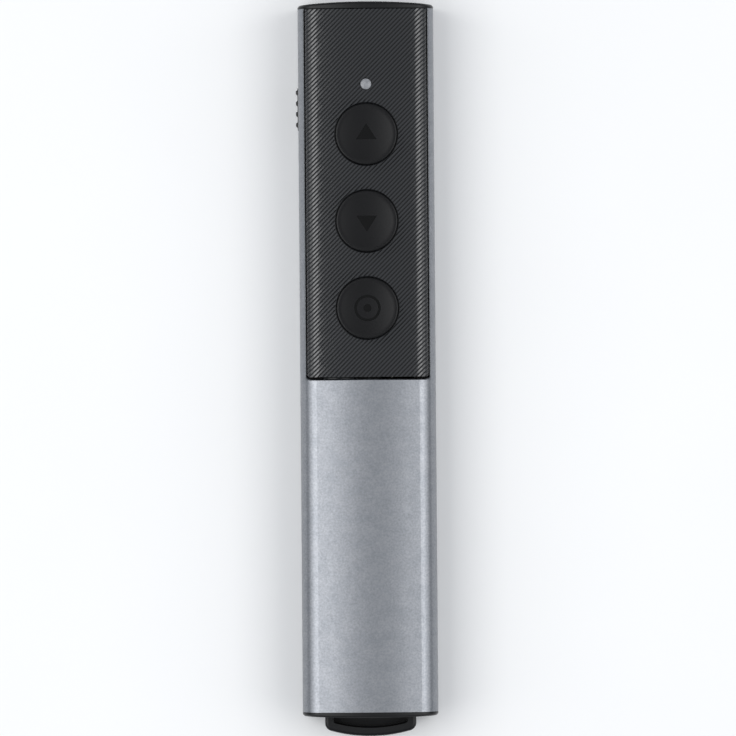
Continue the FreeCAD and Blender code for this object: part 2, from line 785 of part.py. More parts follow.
def make_board_screws():
    body = new_body("board_screws")
    heads = flat(body, "heads", "board_top")
    shanks = flat(body, "shanks", "board_top")
    for x, y in screw_places():
        circle(heads, x, y, "screw_head_diameter / 2")
        circle(shanks, x, y, "screw_diameter / 2")
    grow("Pad", heads, "screw_head_height")
    grow("Pad", shanks, "screw_length", reverse=True)

    def crown(edge):
        return edge.CenterOfMass.z > value("board_top + screw_head_height") - value("screw_fit")
    dress(body, "Chamfer", "screw_head_height / 3", crown, "Size")
    return body


def make_chip(label, x, y, length, width, height):
    body = new_body(label)
    block(body, "Additive", "case", ("%s - %s / 2" % (x, length), "%s + %s / 2" % (x, length)),
          ("%s - %s / 2" % (y, width), "%s + %s / 2" % (y, width)), ("board_top", "board_top + " + height))
    return body


# The laser module: a brass barrel with a lens in front and a diode behind, aimed out of the top cap.
def make_laser():
    barrel = new_body("laser_barrel")
    rod(barrel, "Additive", "tube", "barrel_diameter / 2", "0", "barrel_level",
        ("barrel_back", "barrel_front"))
    rod(barrel, "Subtractive", "bore", "barrel_bore", "0", "barrel_level",
        ("barrel_back - overrun", "barrel_front + overrun"))
    lens = new_body("laser_lens")
    rod(lens, "Additive", "disc", "barrel_bore", "0", "barrel_level",
        ("barrel_front - lens_setback - lens_thickness", "barrel_front - lens_setback"))
    diode = new_body("laser_diode")
    rod(diode, "Additive", "flange", "barrel_bore", "0", "barrel_level",
        ("barrel_back", "barrel_back + lens_thickness"))
    rod(diode, "Additive", "can", "barrel_bore - diode_gap", "0", "barrel_level",
        ("barrel_back", "barrel_back + diode_length"))
    window = new_body("laser_window")
    rod(window, "Additive", "disc", "window_diameter / 2", "0", "barrel_level",
        ("window_back", "window_front"))
    return barrel, lens, diode, window


# The inner frame: one moulding that carries the board, the laser, the cells and the receiver.
def cut_board_cores(body):
    """Cores under the board's long edges, with a rib between two cores and a boss at each screw."""
    core_count = 3
    rows = (("left", "screw_low_row", "screw_high_row"), ("right", "screw_low_row", "screw_high_row"),
            ("right_high", "screw_high_row", "board_end"))
    for row, low, high in rows:
        start = "(%s + boss_half)" % low
        pitch = "((%s - boss_half - %s + core_wall) / %d)" % (high, start, core_count)
        x = ("lower_bay_half + core_wall", "board_half - core_ledge")
        if row == "left":
            x = ("core_ledge - board_half", "-lower_bay_half - core_wall")
        for index in range(core_count):
            core_low = "%s + %s * %d" % (start, pitch, index)
            block(body, "Subtractive", "%s_core_%d" % (row, index), x,
                  (core_low, "%s + %s - core_wall" % (core_low, pitch)),
                  ("floor_top + core_wall", "board_seat + board_gap"))


def make_inner_frame():
    body = new_body("inner_frame")
    profile = across(body, "profile", "frame_high")
    section(profile, "sleeve_wall + frame_gap")
    grow("Pad", profile, "frame_high - frame_low")
    outside = ("-half_width", "half_width")
    block(body, "Subtractive", "panel_step", outside,
          ("window_low - panel_gap", "frame_high + overrun"),
          ("panel_foot", "body_thickness + overrun"))
    block(body, "Subtractive", "board_bay", ("-board_half - board_gap", "board_half + board_gap"),
          ("board_start - board_gap", "frame_high + overrun"), ("board_seat", "body_thickness"))
    block(body, "Subtractive", "lower_bay", ("-lower_bay_half", "lower_bay_half"),
          ("board_start - board_gap", "barrel_back - board_gap"), ("floor_top", "board_seat + board_gap"))
    rod(body, "Subtractive", "barrel_seat", "barrel_diameter / 2 + barrel_fit", "0", "barrel_level",
        ("barrel_back - overrun", "frame_high + overrun"))
    barrel_half = "(barrel_diameter / 2 + barrel_fit)"
    block(body, "Subtractive", "barrel_way", ("-" + barrel_half, barrel_half),
          ("barrel_back - overrun", "frame_high + overrun"), ("barrel_level", "board_seat + board_gap"))
    block(body, "Subtractive", "switch_bay", ("-knob_inner + slider_gap", "-case_inner + case_margin"),
          ("case_centre - case_length / 2 - case_margin", "case_centre + case_length / 2 + case_margin"),
          ("case_low - case_margin", "board_seat + board_gap"))
    block(body, "Subtractive", "knob_way", ("-half_width", "-knob_inner + slider_gap * 2"),
          ("plate_low - knob_travel - knob_gap", "plate_high + knob_gap"),
          ("knob_level - plate_half_height - knob_gap", "knob_level + plate_half_height + knob_gap"))
    block(body, "Subtractive", "cell_bay", ("-bay_half", "bay_half"), ("bay_low", "bay_high"),
          ("-overrun", "cell_level"))
    for name, x in (("left_trough", "-cell_column"), ("right_trough", "cell_column")):
        rod(body, "Subtractive", name, "cell_radius + cell_roof_gap", x, "cell_level",
            ("bay_low", "bay_high"))
    block(body, "Subtractive", "door_way", ("-door_path_half", "door_path_half"),
          ("frame_low - overrun", "door_end + door_gap"), ("-overrun", "door_path_top"))
    block(body, "Subtractive", "plug_way", ("-plug_way_half", "plug_way_half"),
          ("frame_low - overrun", "plug_end + plug_gap"),
          ("middle_height - plug_way_half_height", "middle_height + plug_way_half_height"))
    plug_core_length = ("frame_low - overrun", "bay_low - divider")
    block(body, "Subtractive", "plug_roof_core",
          ("core_wall - plug_way_half", "plug_way_half - core_wall"), plug_core_length,
          ("middle_height + plug_way_half_height + core_wall",
           "body_thickness - sleeve_wall - frame_gap - core_wall"))
    for name, x in (("left_plug_core", ("core_wall - frame_half", "-plug_way_half - core_wall")),
                    ("right_plug_core", ("plug_way_half + core_wall", "frame_half - core_wall"))):
        block(body, "Subtractive", name, x, plug_core_length,
              ("door_path_top + core_wall", "panel_foot - core_wall"))
    cut_board_cores(body)
    for name, x in (("left_tab_way", "-cell_column"), ("right_tab_way", "cell_column")):
        block(body, "Subtractive", name,
              (x + " - tab_width / 2 - tab_fit", x + " + tab_width / 2 + tab_fit"),
              ("bay_high - overrun", "board_start"),
              ("tab_level - tab_fit", "tab_level + contact_thickness + tab_fit"))
    pilots = flat(body, "pilots", "board_seat")
    for x, y in screw_places():
        circle(pilots, x, y, "screw_diameter / 2")
    grow("Pocket", pilots, "screw_length - board_thickness")
    return body


# An AAA cell: a can with rounded ends and its positive terminal, which points up or down.
def make_cell(label, x, high, positive_up):
    body = new_body(label)
    profile = flat(body, "profile", "0")
    outline(profile, [("0", "0"),
                      ("cell_radius - cell_edge", "0"),
                      ("cell_radius", "cell_edge"),
                      ("cell_radius", "cell_length - terminal_height - cell_edge"),
                      ("cell_radius - cell_edge", "cell_length - terminal_height"),
                      ("terminal_diameter / 2", "cell_length - terminal_height"),
                      ("terminal_diameter / 2", "cell_length"),
                      ("0", "cell_length")])
    turn("Revolution", profile)
    bind(body, "Placement.Base.x", x)
    bind(body, "Placement.Base.z", "cell_level")
    if positive_up:
        bind(body, "Placement.Base.y", high + " - cell_length")
    else:
        body.Placement.Rotation = FreeCAD.Rotation(FreeCAD.Vector(0, 0, 1), 180)
        bind(body, "Placement.Base.y", high)
    return body


# Battery contacts: nickelled plates, two with tabs onto the board, and two coil springs.
def make_board_contact(label, x):
    body = new_body(label)
    block(body, "Additive", "plate", (x + " - contact_width / 2", x + " + contact_width / 2"),
          ("cell_high", "bay_high"),
          ("cell_level - contact_height / 2", "cell_level + contact_height / 2"))
    block(body, "Additive", "tab", (x + " - tab_width / 2", x + " + tab_width / 2"),
          ("cell_high", "board_start + tab_reach"), ("tab_level", "tab_level + contact_thickness"))
    return body


def make_bridge_contact():
    body = new_body("bridge_contact")
    low = "cell_level - contact_height / 2"
    for name, x in (("left_plate", "-cell_column"), ("right_plate", "cell_column")):
        block(body, "Additive", name, (x + " - contact_width / 2", x + " + contact_width / 2"),
              ("bay_low", "cell_low"), (low, "cell_level + contact_height / 2"))
    block(body, "Additive", "strap", ("-cell_column", "cell_column"), ("bay_low", "cell_low"),
          (low, "cell_level - cell_roof_gap"))
    return body


def make_spring(label, x, base):
    """A coil along Y from its base to the cell that it presses on."""
    body = new_body(label)
    wire = new_sketch(body, "wire", "YZ_Plane")
    side_count = 6
    sides = []
    for index in range(side_count):
        angle = 2 * math.pi * (index + 0.5) / side_count
        sides.append(("wire_diameter / 2 * (1 + %.4f)" % math.cos(angle),
                      "(spring_diameter - wire_diameter + wire_diameter * %.4f) / 2" % math.sin(angle)))
    outline(wire, sides)
    coil = body.newObject("PartDesign::AdditiveHelix", label + "_coil")
    coil.Profile = wire
    coil.ReferenceAxis = (wire, ["H_Axis"])
    coil.Mode = "height-turns-angle"
    bind(coil, "Height", "spring_length - wire_diameter")
    bind(coil, "Turns", "spring_turns")
    bind(body, "Placement.Base.x", x)
    bind(body, "Placement.Base.y", base)
    bind(body, "Placement.Base.z", "cell_level")
    return body


# The battery door: a moulded plate with lips that run behind the sleeve's back wall.
def make_battery_door():
    body = new_body("battery_door")
    plate = flat(body, "plate", "door_recess")
    outline(plate, [("-door_half", "door_low"), ("door_half", "door_low"),
                    ("door_half", "door_end", "door_corner"),
                    ("-door_half", "door_end", "door_corner")])
    grow("Pad", plate, "door_inner - door_recess")
    block(body, "Additive", "lips", ("-door_lip_half", "door_lip_half"),
          ("door_low", "door_end"), ("door_lip_low", "door_inner"))
    groove_count = 5
    grooves = flat(body, "grooves", "0")
    for index in range(groove_count):
        low = "-sleeve_end + groove_start + groove_pitch * %d" % index
        rectangle(grooves, "-groove_length / 2", "groove_length / 2", low, low + " + groove_width")
    grow("Pocket", grooves, "door_recess + groove_depth", reverse=True)
    return body


# An end cap: a crowned cover outside the sleeve's end and a skirt inside it.
def make_cap(label, sign):
    """sign is "" for the laser end and "-" for the lower end."""
    body = new_body(label)
    rise = label + "_rise"
    bow_depth = "(%s - %s_side_rise)" % (rise, label)
    bow_radius = "((half_width ^ 2 + %s ^ 2) / (2 * %s))" % (bow_depth, bow_depth)
    towards_end = sign == ""
    face = across(body, "face", sign + "sleeve_end")
    section(face, "0")
    grow("Pad", face, rise, reverse=towards_end)
    skirt = across(body, "skirt", sign + "sleeve_end")
    section(skirt, "sleeve_wall + frame_gap")
    grow("Pad", skirt, "cap_skirt", reverse=not towards_end)
    crown = flat(body, "crown", "-overrun")
    top = sign + "(sleeve_end + %s)" % rise
    centre = sign + "(sleeve_end + %s - %s)" % (rise, bow_radius)
    beyond = sign + "(sleeve_end + %s + overrun)" % rise
    edge_x = value("half_width + overrun")
    radius = value(bow_radius)
    edge_y = value(centre) + math.copysign(math.sqrt(radius ** 2 - edge_x ** 2), value(top))
    high = value(beyond)
    bow = bend_through(FreeCAD.Vector(-edge_x, edge_y), FreeCAD.Vector(0, value(top)),
                       FreeCAD.Vector(edge_x, edge_y))
    arc = crown.addGeometry(bow)
    left_end, right_end = ends_of(bow, FreeCAD.Vector(-edge_x, edge_y))
    spots = [FreeCAD.Vector(edge_x, edge_y), FreeCAD.Vector(edge_x, high),
             FreeCAD.Vector(-edge_x, high), FreeCAD.Vector(-edge_x, edge_y)]
    right, over, left = [crown.addGeometry(Part.LineSegment(spots[index], spots[index + 1]))
                         for index in range(3)]
    for link in ((arc, right_end, right, 1), (right, 2, over, 1), (over, 2, left, 1),
                 (left, 2, arc, left_end)):
        crown.addConstraint(Sketcher.Constraint("Coincident", *link))
    crown.addConstraint(Sketcher.Constraint("Vertical", right))
    crown.addConstraint(Sketcher.Constraint("Vertical", left))
    crown.addConstraint(Sketcher.Constraint("Horizontal", over))
    dimension(crown, "DistanceX", right, 1, "half_width + overrun")
    dimension(crown, "DistanceX", left, 1, "-half_width - overrun")
    dimension(crown, "DistanceY", over, 1, beyond)
    pin(crown, arc, 3, "0", centre)
    dimension(crown, "Radius", arc, 0, bow_radius)
    grow("Pocket", crown, "body_thickness + 2 * overrun", reverse=True)
    limit = value("sleeve_end") + value("cap_edge") / 10

    def end_edge(edge):
        return min(abs(vertex.Y) for vertex in edge.Vertexes) > limit
    dress(body, "Chamfer", "cap_edge", end_edge, "Size")
    return body


def make_top_cap():
    body = make_cap("top_cap", "")
    block(body, "Subtractive", "panel_step", ("-half_width", "half_width"),
          ("sleeve_end - cap_skirt - overrun", "sleeve_end"),
          ("panel_foot", "body_thickness + overrun"))
    rod(body, "Subtractive", "beam_way", "beam_diameter / 2", "0", "barrel_level",
        ("sleeve_end - cap_skirt - overrun", "sleeve_end + top_cap_rise + overrun"))
    rod(body, "Subtractive", "window_seat", "window_diameter / 2 + window_fit", "0", "barrel_level",
        ("window_back", "sleeve_end + top_cap_rise + overrun"))
    rod(body, "Subtractive", "barrel_socket", "barrel_diameter / 2 + barrel_fit", "0", "barrel_level",
        ("sleeve_end - cap_skirt - overrun", "barrel_front"))
    return body


def make_bottom_cap():
    body = make_cap("bottom_cap", "-")
    way = across(body, "receiver_way", "-sleeve_end + cap_skirt + overrun")
    rectangle(way, "-grip_half - receiver_gap", "grip_half + receiver_gap",
              "middle_height - grip_thickness / 2 - receiver_gap",
              "middle_height + grip_thickness / 2 + receiver_gap", "grip_edge + receiver_gap")
    grow("Pocket", way, "cap_skirt + bottom_cap_rise + 2 * overrun", reverse=True)
    through = ("-sleeve_end - bottom_cap_rise - overrun", "-sleeve_end + cap_skirt + overrun")
    block(body, "Subtractive", "door_notch", ("-door_slot_half", "door_slot_half"), through,
          ("-overrun", "door_path_top"))
    block(body, "Subtractive", "lip_notch", ("-door_path_half", "door_path_half"), through,
          ("sleeve_wall", "door_path_top"))
    return body


# The receiver: a moulded grip with a fingernail pocket, and its plug with shell, tongue and blades.
def receiver_outline(sketch, inset, start):
    """The grip seen from the front: straight sides and a bowed end, further in by the inset."""
    half = value("grip_half - (%s)" % inset)
    end = value("grip_end + (%s)" % inset)
    bow_radius = value("grip_end_radius - (%s)" % inset)
    corner = value("max(grip_corner - (%s); grip_edge)" % inset)
    bow_level = end + bow_radius
    corner_x = half - corner
    reach = bow_radius - corner
    corner_y = bow_level - math.sqrt(reach ** 2 - corner_x ** 2)
    lean = math.asin(corner_x / reach)
    top = value(start)

    def point(centre_x, centre_y, radius, turn_angle):
        return FreeCAD.Vector(centre_x + radius * math.sin(turn_angle),
                              centre_y - radius * math.cos(turn_angle))
    quarter = math.pi / 2
    middle_turn = (lean + quarter) / 2
    right_corner = Part.Arc(point(corner_x, corner_y, corner, lean),
                            point(corner_x, corner_y, corner, middle_turn),
                            FreeCAD.Vector(half, corner_y))
    left_corner = Part.Arc(FreeCAD.Vector(-half, corner_y),
                           point(-corner_x, corner_y, corner, -middle_turn),
                           point(-corner_x, corner_y, corner, -lean))
    bow = Part.Arc(point(0, bow_level, bow_radius, -lean), FreeCAD.Vector(0, end),
                   point(0, bow_level, bow_radius, lean))
    pieces = [bow, right_corner,
              Part.LineSegment(FreeCAD.Vector(half, corner_y), FreeCAD.Vector(half, top)),
              Part.LineSegment(FreeCAD.Vector(half, top), FreeCAD.Vector(-half, top)),
              Part.LineSegment(FreeCAD.Vector(-half, top), FreeCAD.Vector(-half, corner_y)),
              left_corner]
    low, right_bend, right, over, left, left_bend = [sketch.addGeometry(piece) for piece in pieces]
    for kind, link in (("Tangent", (low, 2, right_bend, 1)), ("Tangent", (right_bend, 2, right, 1)),
                       ("Coincident", (right, 2, over, 1)), ("Coincident", (over, 2, left, 1)),
                       ("Tangent", (left, 2, left_bend, 1)), ("Tangent", (left_bend, 2, low, 1))):
        sketch.addConstraint(Sketcher.Constraint(kind, *link))
    sketch.addConstraint(Sketcher.Constraint("Vertical", right))
    sketch.addConstraint(Sketcher.Constraint("Vertical", left))
    sketch.addConstraint(Sketcher.Constraint("Horizontal", over))
    dimension(sketch, "DistanceX", right, 2, "grip_half - (%s)" % inset)
    dimension(sketch, "DistanceX", left, 1, "-grip_half + (%s)" % inset)
    dimension(sketch, "DistanceY", over, 1, start)
    pin(sketch, low, 3, "0", "grip_end + grip_end_radius")
    dimension(sketch, "Radius", low, 0, "grip_end_radius - (%s)" % inset)
    for bend in (right_bend, left_bend):
        dimension(sketch, "Radius", bend, 0, "max(grip_corner - (%s); grip_edge)" % inset)


def make_receiver_grip():
    body = new_body("receiver_grip")
    shape = flat(body, "outline", "middle_height - grip_thickness / 2")
    receiver_outline(shape, "0", "receiver_inner")
    grow("Pad", shape, "grip_thickness")
    inner = value("receiver_inner")
    near = value("receiver_gap")

    def long_edge(edge):
        return edge.BoundBox.ZLength < near and edge.CenterOfMass.y < inner - near
    dress(body, "Fillet", "grip_edge", long_edge, "Radius")
    pocket = flat(body, "pocket", "middle_height + grip_thickness / 2 + overrun")
    receiver_outline(pocket, "grip_rim", "-sleeve_end - pocket_start")
    grow("Pocket", pocket, "grip_thickness - grip_floor + overrun")
    return body


def make_receiver_plug():
    shell = new_body("plug_shell")
    half = "plug_width / 2"
    low = "middle_height - plug_height / 2"
    high = "middle_height + plug_height / 2"
    rim = across(shell, "rim", "plug_end")
    rectangle(rim, "-" + half, half, low, high, "plug_wall * 2")
    rectangle(rim, "-%s + plug_wall" % half, half + " - plug_wall", low + " + plug_wall",
              high + " - plug_wall", "plug_wall")
    grow("Pad", rim, "plug_length")
    windows = flat(shell, "windows", "body_thickness")
    for side in ("-", ""):
        centre = side + "plug_width / 4"
        rectangle(windows, centre + " - plug_window / 2", centre + " + plug_window / 2",
                  "plug_end - plug_window_place - plug_window / 2",
                  "plug_end - plug_window_place + plug_window / 2")
    grow("Pocket", windows, "body_thickness")
    tongue = new_body("plug_tongue")
    block(tongue, "Additive", "bar", ("-tongue_half", "tongue_half"),
          ("receiver_inner", "plug_end - tongue_setback"),
          (low + " + plug_wall", low + " + plug_wall + tongue_thickness"))
    blades = new_body("plug_blades")
    blade_count = 4
    top = low + " + plug_wall + tongue_thickness"
    strips = flat(blades, "strips", top)
    for index in range(blade_count):
        middle = "blade_pitch * %.1f" % (index - (blade_count - 1) / 2)
        rectangle(strips, middle + " - blade_width / 2", middle + " + blade_width / 2",
                  "receiver_inner", "plug_end - 2 * tongue_setback")
    grow("Pad", strips, "blade_thickness")
    return shell, tongue, blades


nodes = [make_sleeve(), make_front_panel()]
for name in ("up", "down", "laser"):
    place = name + "_button_place"
    nodes += [make_button(name + "_button", place), make_key(name + "_key", place),
              make_plunger(name + "_plunger", place)]
nodes.append(make_power_knob())
nodes += make_slide_switch()
nodes += make_lamp()
nodes += [make_board(), make_board_screws()]
between_keys = "laser_button_place + button_pitch / 2"
nodes.append(make_chip("radio_chip", "0", between_keys, "chip_size", "chip_size", "chip_height"))
nodes.append(make_chip("crystal", "crystal_place", between_keys + " + button_pitch", "crystal_length",
                       "crystal_width", "crystal_height"))
nodes += make_laser()
nodes.append(make_inner_frame())
nodes.append(make_cell("left_cell", "-cell_column", "cell_high", True))
nodes.append(make_cell("right_cell", "cell_column", "cell_low + cell_length", False))
nodes += [make_board_contact("positive_contact", "-cell_column"),
          make_board_contact("negative_contact", "cell_column"), make_bridge_contact()]
nodes += [make_spring("negative_spring", "cell_column", "cell_high - spring_length"),
          make_spring("bridge_spring", "-cell_column", "cell_low")]
nodes.append(make_battery_door())
nodes += [make_top_cap(), make_bottom_cap(), make_receiver_grip()]
nodes += make_receiver_plug()
doc.recompute()

for thing in doc.Objects:
    if "Invalid" in thing.State or "Error" in thing.State:
        raise RuntimeError("%s did not rebuild: %s" % (thing.Name, thing.State))
for body in nodes:
    volume = 0.0
    for feature in body.Group:
        if not feature.isDerivedFrom("PartDesign::Feature"):
            continue
        before, volume = volume, feature.Shape.Volume
        cuts = any(word in feature.TypeId for word in ("Pocket", "Subtractive", "Groove"))
        adds = any(word in feature.TypeId for word in ("Pad", "Additive", "Revolution"))
        if cuts and volume >= before or adds and volume <= before:
            raise RuntimeError("%s changes nothing" % feature.Name)
    if body.Shape.isNull() or not body.Shape.isValid():
        raise RuntimeError("%s has no valid shape" % body.Label)

coil_gap = value("(spring_length - wire_diameter) / spring_turns - wire_diameter")
print("least gap between spring turns %.2f mm" % coil_gap)
os.makedirs("parts", exist_ok=True)
for body in nodes:
    body.Shape.exportStep("parts/%s.step" % body.Label)
    print("%-20s %d solid, %.1f cubic mm" % (body.Label, len(body.Shape.Solids), body.Shape.Volume))
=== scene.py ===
import json
import math
import bpy
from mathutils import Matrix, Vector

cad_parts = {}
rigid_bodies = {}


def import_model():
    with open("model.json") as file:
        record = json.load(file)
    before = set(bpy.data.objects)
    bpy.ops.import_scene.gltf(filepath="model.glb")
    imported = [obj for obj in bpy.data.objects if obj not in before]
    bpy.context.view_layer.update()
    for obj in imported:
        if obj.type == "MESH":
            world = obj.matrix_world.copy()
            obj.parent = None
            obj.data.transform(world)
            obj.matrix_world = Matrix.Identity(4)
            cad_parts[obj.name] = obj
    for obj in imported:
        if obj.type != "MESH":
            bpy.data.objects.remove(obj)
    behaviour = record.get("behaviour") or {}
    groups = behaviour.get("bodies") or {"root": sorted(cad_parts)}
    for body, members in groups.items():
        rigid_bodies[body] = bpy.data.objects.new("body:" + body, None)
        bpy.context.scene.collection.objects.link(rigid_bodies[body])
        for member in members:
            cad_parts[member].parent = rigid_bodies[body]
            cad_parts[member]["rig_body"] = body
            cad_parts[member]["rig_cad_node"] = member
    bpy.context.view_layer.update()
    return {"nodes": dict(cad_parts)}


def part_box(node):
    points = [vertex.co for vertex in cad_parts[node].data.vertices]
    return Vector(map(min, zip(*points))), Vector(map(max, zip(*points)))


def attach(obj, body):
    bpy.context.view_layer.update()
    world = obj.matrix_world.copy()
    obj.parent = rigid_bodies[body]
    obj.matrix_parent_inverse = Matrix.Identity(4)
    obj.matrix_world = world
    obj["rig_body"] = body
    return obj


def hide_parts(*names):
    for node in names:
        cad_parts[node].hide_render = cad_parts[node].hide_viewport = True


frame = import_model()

# Sleeve
# The body is one aluminium extrusion, crowned in front and flat behind. It is bead blasted and
# anodised silver grey. The window for the front panel is milled last, so its edge is cut bright.


def mm(length):
    return length / 1000


def linear(code):
    """A colour written as sRGB hex, turned to the linear values that a shader takes."""
    channels = [int(code[place:place + 2], 16) / 255 for place in (1, 3, 5)]
    return tuple(c / 12.92 if c <= 0.04045 else ((c + 0.055) / 1.055) ** 2.4 for c in channels) + (1,)


def add_node(tree, kind, settings=None, links=None):
    """One shader node with its settings, and its inputs linked to other nodes' outputs."""
    made = tree.nodes.new("ShaderNode" + kind)
    for name, setting in (settings or {}).items():
        if name in [socket.name for socket in made.inputs] or isinstance(name, int):
            made.inputs[name].default_value = setting
        else:
            setattr(made, name, setting)
    for name, source in (links or {}).items():
        tree.links.new(source, made.inputs[name])
    return made


def new_material(name):
    """An empty node material, and its tree."""
    material = bpy.data.materials.new(name)
    material.use_nodes = True
    material.node_tree.nodes.clear()
    return material, material.node_tree


def dress(names, material):
    """Gives a material to CAD nodes, which keep their place and shape."""
    for name in names:
        for material_slot in frame["nodes"][name].material_slots:
            material_slot.material = material


sleeve_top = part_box("sleeve")[1].z
window_half = mm(11.34)
window_low = mm(-3.4)
machined_width = mm(0.26)
machined_reach = mm(2.3)
blast_grain = mm(0.36)
blast_depth = mm(0.016)
blast_cloud = mm(2.5)


def anodised_aluminium():
    """Anodised aluminium, bead blasted: a soft, even sheen with a fine grain. Cut edges shine."""
    material, tree = new_material("anodised_aluminium")
    place = add_node(tree, "TexCoord").outputs["Object"]
    grain = add_node(tree, "TexNoise", {"Scale": 1 / blast_grain, "Detail": 3.0, "Roughness": 0.6},
                     {"Vector": place})
    cloud = add_node(tree, "TexNoise", {"Scale": 1 / blast_cloud, "Detail": 4.0}, {"Vector": place})
    axes = add_node(tree, "SeparateXYZ", links={"Vector": place})
    side = add_node(tree, "Math", {"operation": "ABSOLUTE"}, {0: axes.outputs["X"]})
    inside = add_node(tree, "Math", {"operation": "LESS_THAN", 1: window_half + machined_width},
                      {0: side.outputs[0]})
    above = add_node(tree, "Math", {"operation": "GREATER_THAN", 1: window_low - machined_width},
                     {0: axes.outputs["Y"]})
    front = add_node(tree, "Math", {"operation": "GREATER_THAN", 1: sleeve_top - machined_reach},
                     {0: axes.outputs["Z"]})
    window = add_node(tree, "Math", {"operation": "MULTIPLY"}, {0: inside.outputs[0], 1: above.outputs[0]})
    cut = add_node(tree, "Math", {"operation": "MULTIPLY"}, {0: window.outputs[0], 1: front.outputs[0]})
    tint = add_node(tree, "MixRGB", {"Color1": linear("#94989D"), "Color2": linear("#ACAEB2")},
                    {"Fac": cloud.outputs["Fac"]})
    speckle = add_node(tree, "MixRGB", {"blend_type": "MULTIPLY", "Color2": linear("#B4B4B7")},
                       {"Fac": grain.outputs["Fac"], "Color1": tint.outputs["Color"]})
    colour = add_node(tree, "MixRGB", {"Color2": linear("#7C7F83")},
                      {"Fac": cut.outputs[0], "Color1": speckle.outputs["Color"]})
    rough = add_node(tree, "MapRange", {"To Min": 0.3, "To Max": 0.4}, {"Value": grain.outputs["Fac"]})
    sheen = add_node(tree, "Mix", {3: 0.3}, {0: cut.outputs[0], 2: rough.outputs["Result"]})
    matt = add_node(tree, "Math", {"operation": "SUBTRACT", 0: 1.0}, {1: cut.outputs[0]})
    relief = add_node(tree, "Math", {"operation": "MULTIPLY"},
                      {0: grain.outputs["Fac"], 1: matt.outputs[0]})
    bump = add_node(tree, "Bump", {"Strength": 0.5, "Distance": blast_depth}, {"Height": relief.outputs[0]})
    shader = add_node(tree, "BsdfPrincipled", {"Metallic": 1.0},
                      {"Base Color": colour.outputs["Color"], "Roughness": sheen.outputs[0],
                       "Normal": bump.outputs["Normal"]})
    add_node(tree, "OutputMaterial", links={"Surface": shader.outputs["BSDF"]})
    return material


dress(["sleeve"], anodised_aluminium())

# Front panel
# A moulded ABS plate fills the window. Its face is flatter than the crown and rounds off along its
# long sides. Fine ribs cross it at 45 degrees, and a foot down each side rests on the inner frame.

panel_low, panel_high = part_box("front_panel")
panel_half = panel_high.x
panel_under = mm(13.25)
panel_foot_inner = mm(9.59)
panel_corner = mm(0.55)
button_hole = mm(5.75)
lamp_hole = mm(1.12)
panel_crown = mm(140)
panel_crease = 18
shoulder_radius = mm(3)
shoulder_start = mm(9)
shoulder_slope = shoulder_start / panel_crown
shoulder_cuts = (shoulder_start, mm(9.3), panel_foot_inner, mm(9.9), mm(10.2), mm(10.5), mm(10.8))
corner_turns = (22.5, 45, 67.5)
rib_pitch = mm(0.58)
rib_depth = mm(0.11)
rib_turn = math.radians(45)
rib_step = mm(2.0)
rows_per_rib = 4
round_sides = 96
hole_reach = mm(6)
hole_edge_width = mm(0.18)
hole_edge_depth = mm(0.065)
rim_around_hole = mm(0.22)
rim_sink = mm(0.01)
faces_down = -0.9
seam_gap = mm(0.002)
flow_size = mm(9)


def crown_drop(x):
    """How far the panel's face lies below its crest at that distance from the middle: nearly flat,
    with a tighter shoulder along each side."""
    x = abs(x)
    if x < shoulder_start:
        return panel_crown - math.sqrt(panel_crown ** 2 - x ** 2)
    slope = shoulder_slope + (x - shoulder_start) / shoulder_radius
    start_drop = panel_crown - math.sqrt(panel_crown ** 2 - shoulder_start ** 2)
    return start_drop + shoulder_radius * (math.sqrt(1 - shoulder_slope ** 2) - math.sqrt(1 - slope ** 2))


def middle_of(node):
    low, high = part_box(node)
    return (low + high) / 2


def start_piece(name):
    """The primitive that was just added, named, with its place moved into its mesh."""
    piece = bpy.context.object
    piece.name = name
    piece.data.name = name
    bpy.ops.object.transform_apply(location=True, rotation=True, scale=True)
    return piece


def choose(piece, kind, wanted):
    """In edit mode, selects the vertices or faces whose place passes the test, and nothing else."""
    bpy.ops.mesh.select_mode(type="FACE" if kind == "faces" else "VERT")
    bpy.ops.mesh.select_all(action="DESELECT")
    bpy.ops.object.mode_set(mode="OBJECT")
    if kind == "faces":
        for face in piece.data.polygons:
            face.select = wanted(face.center, face.normal)
    else:
        for vertex in piece.data.vertices:
            vertex.select = wanted(vertex.co)
    bpy.ops.object.mode_set(mode="EDIT")


def edit(piece):
    """Goes to edit mode with only this piece active and all of it selected."""
    bpy.ops.object.select_all(action="DESELECT")
    piece.select_set(True)
    bpy.context.view_layer.objects.active = piece
    bpy.ops.object.mode_set(mode="EDIT")
    bpy.ops.mesh.select_all(action="SELECT")


def apply_modifier(piece, kind, **settings):
    modifier = piece.modifiers.new(kind.title(), kind)
    for name, setting in settings.items():
        setattr(modifier, name, setting)
    bpy.ops.object.select_all(action="DESELECT")
    piece.select_set(True)
    bpy.context.view_layer.objects.active = piece
    bpy.ops.object.modifier_apply(modifier=modifier.name)


def select_open_edges():
    """In edit mode, selects the edges that the faces leave open, and nothing else."""
    bpy.ops.mesh.select_mode(type="EDGE")
    bpy.ops.mesh.select_all(action="DESELECT")
    bpy.ops.mesh.select_non_manifold()


def combine(piece, shapes, operation="DIFFERENCE"):
    """Cuts closed shapes out of the piece, or joins them to it. They are then gone, the faces that
    come from them keep their material, and hairline seams between the cuts are closed."""
    for shape in shapes:
        apply_modifier(piece, "BOOLEAN", operation=operation, solver="EXACT", object=shape,
                       material_mode="TRANSFER")
        bpy.data.objects.remove(shape)
    edit(piece)
    bpy.ops.mesh.remove_doubles(threshold=seam_gap)
    select_open_edges()
    bpy.ops.mesh.fill_holes(sides=0)
    bpy.ops.object.mode_set(mode="OBJECT")


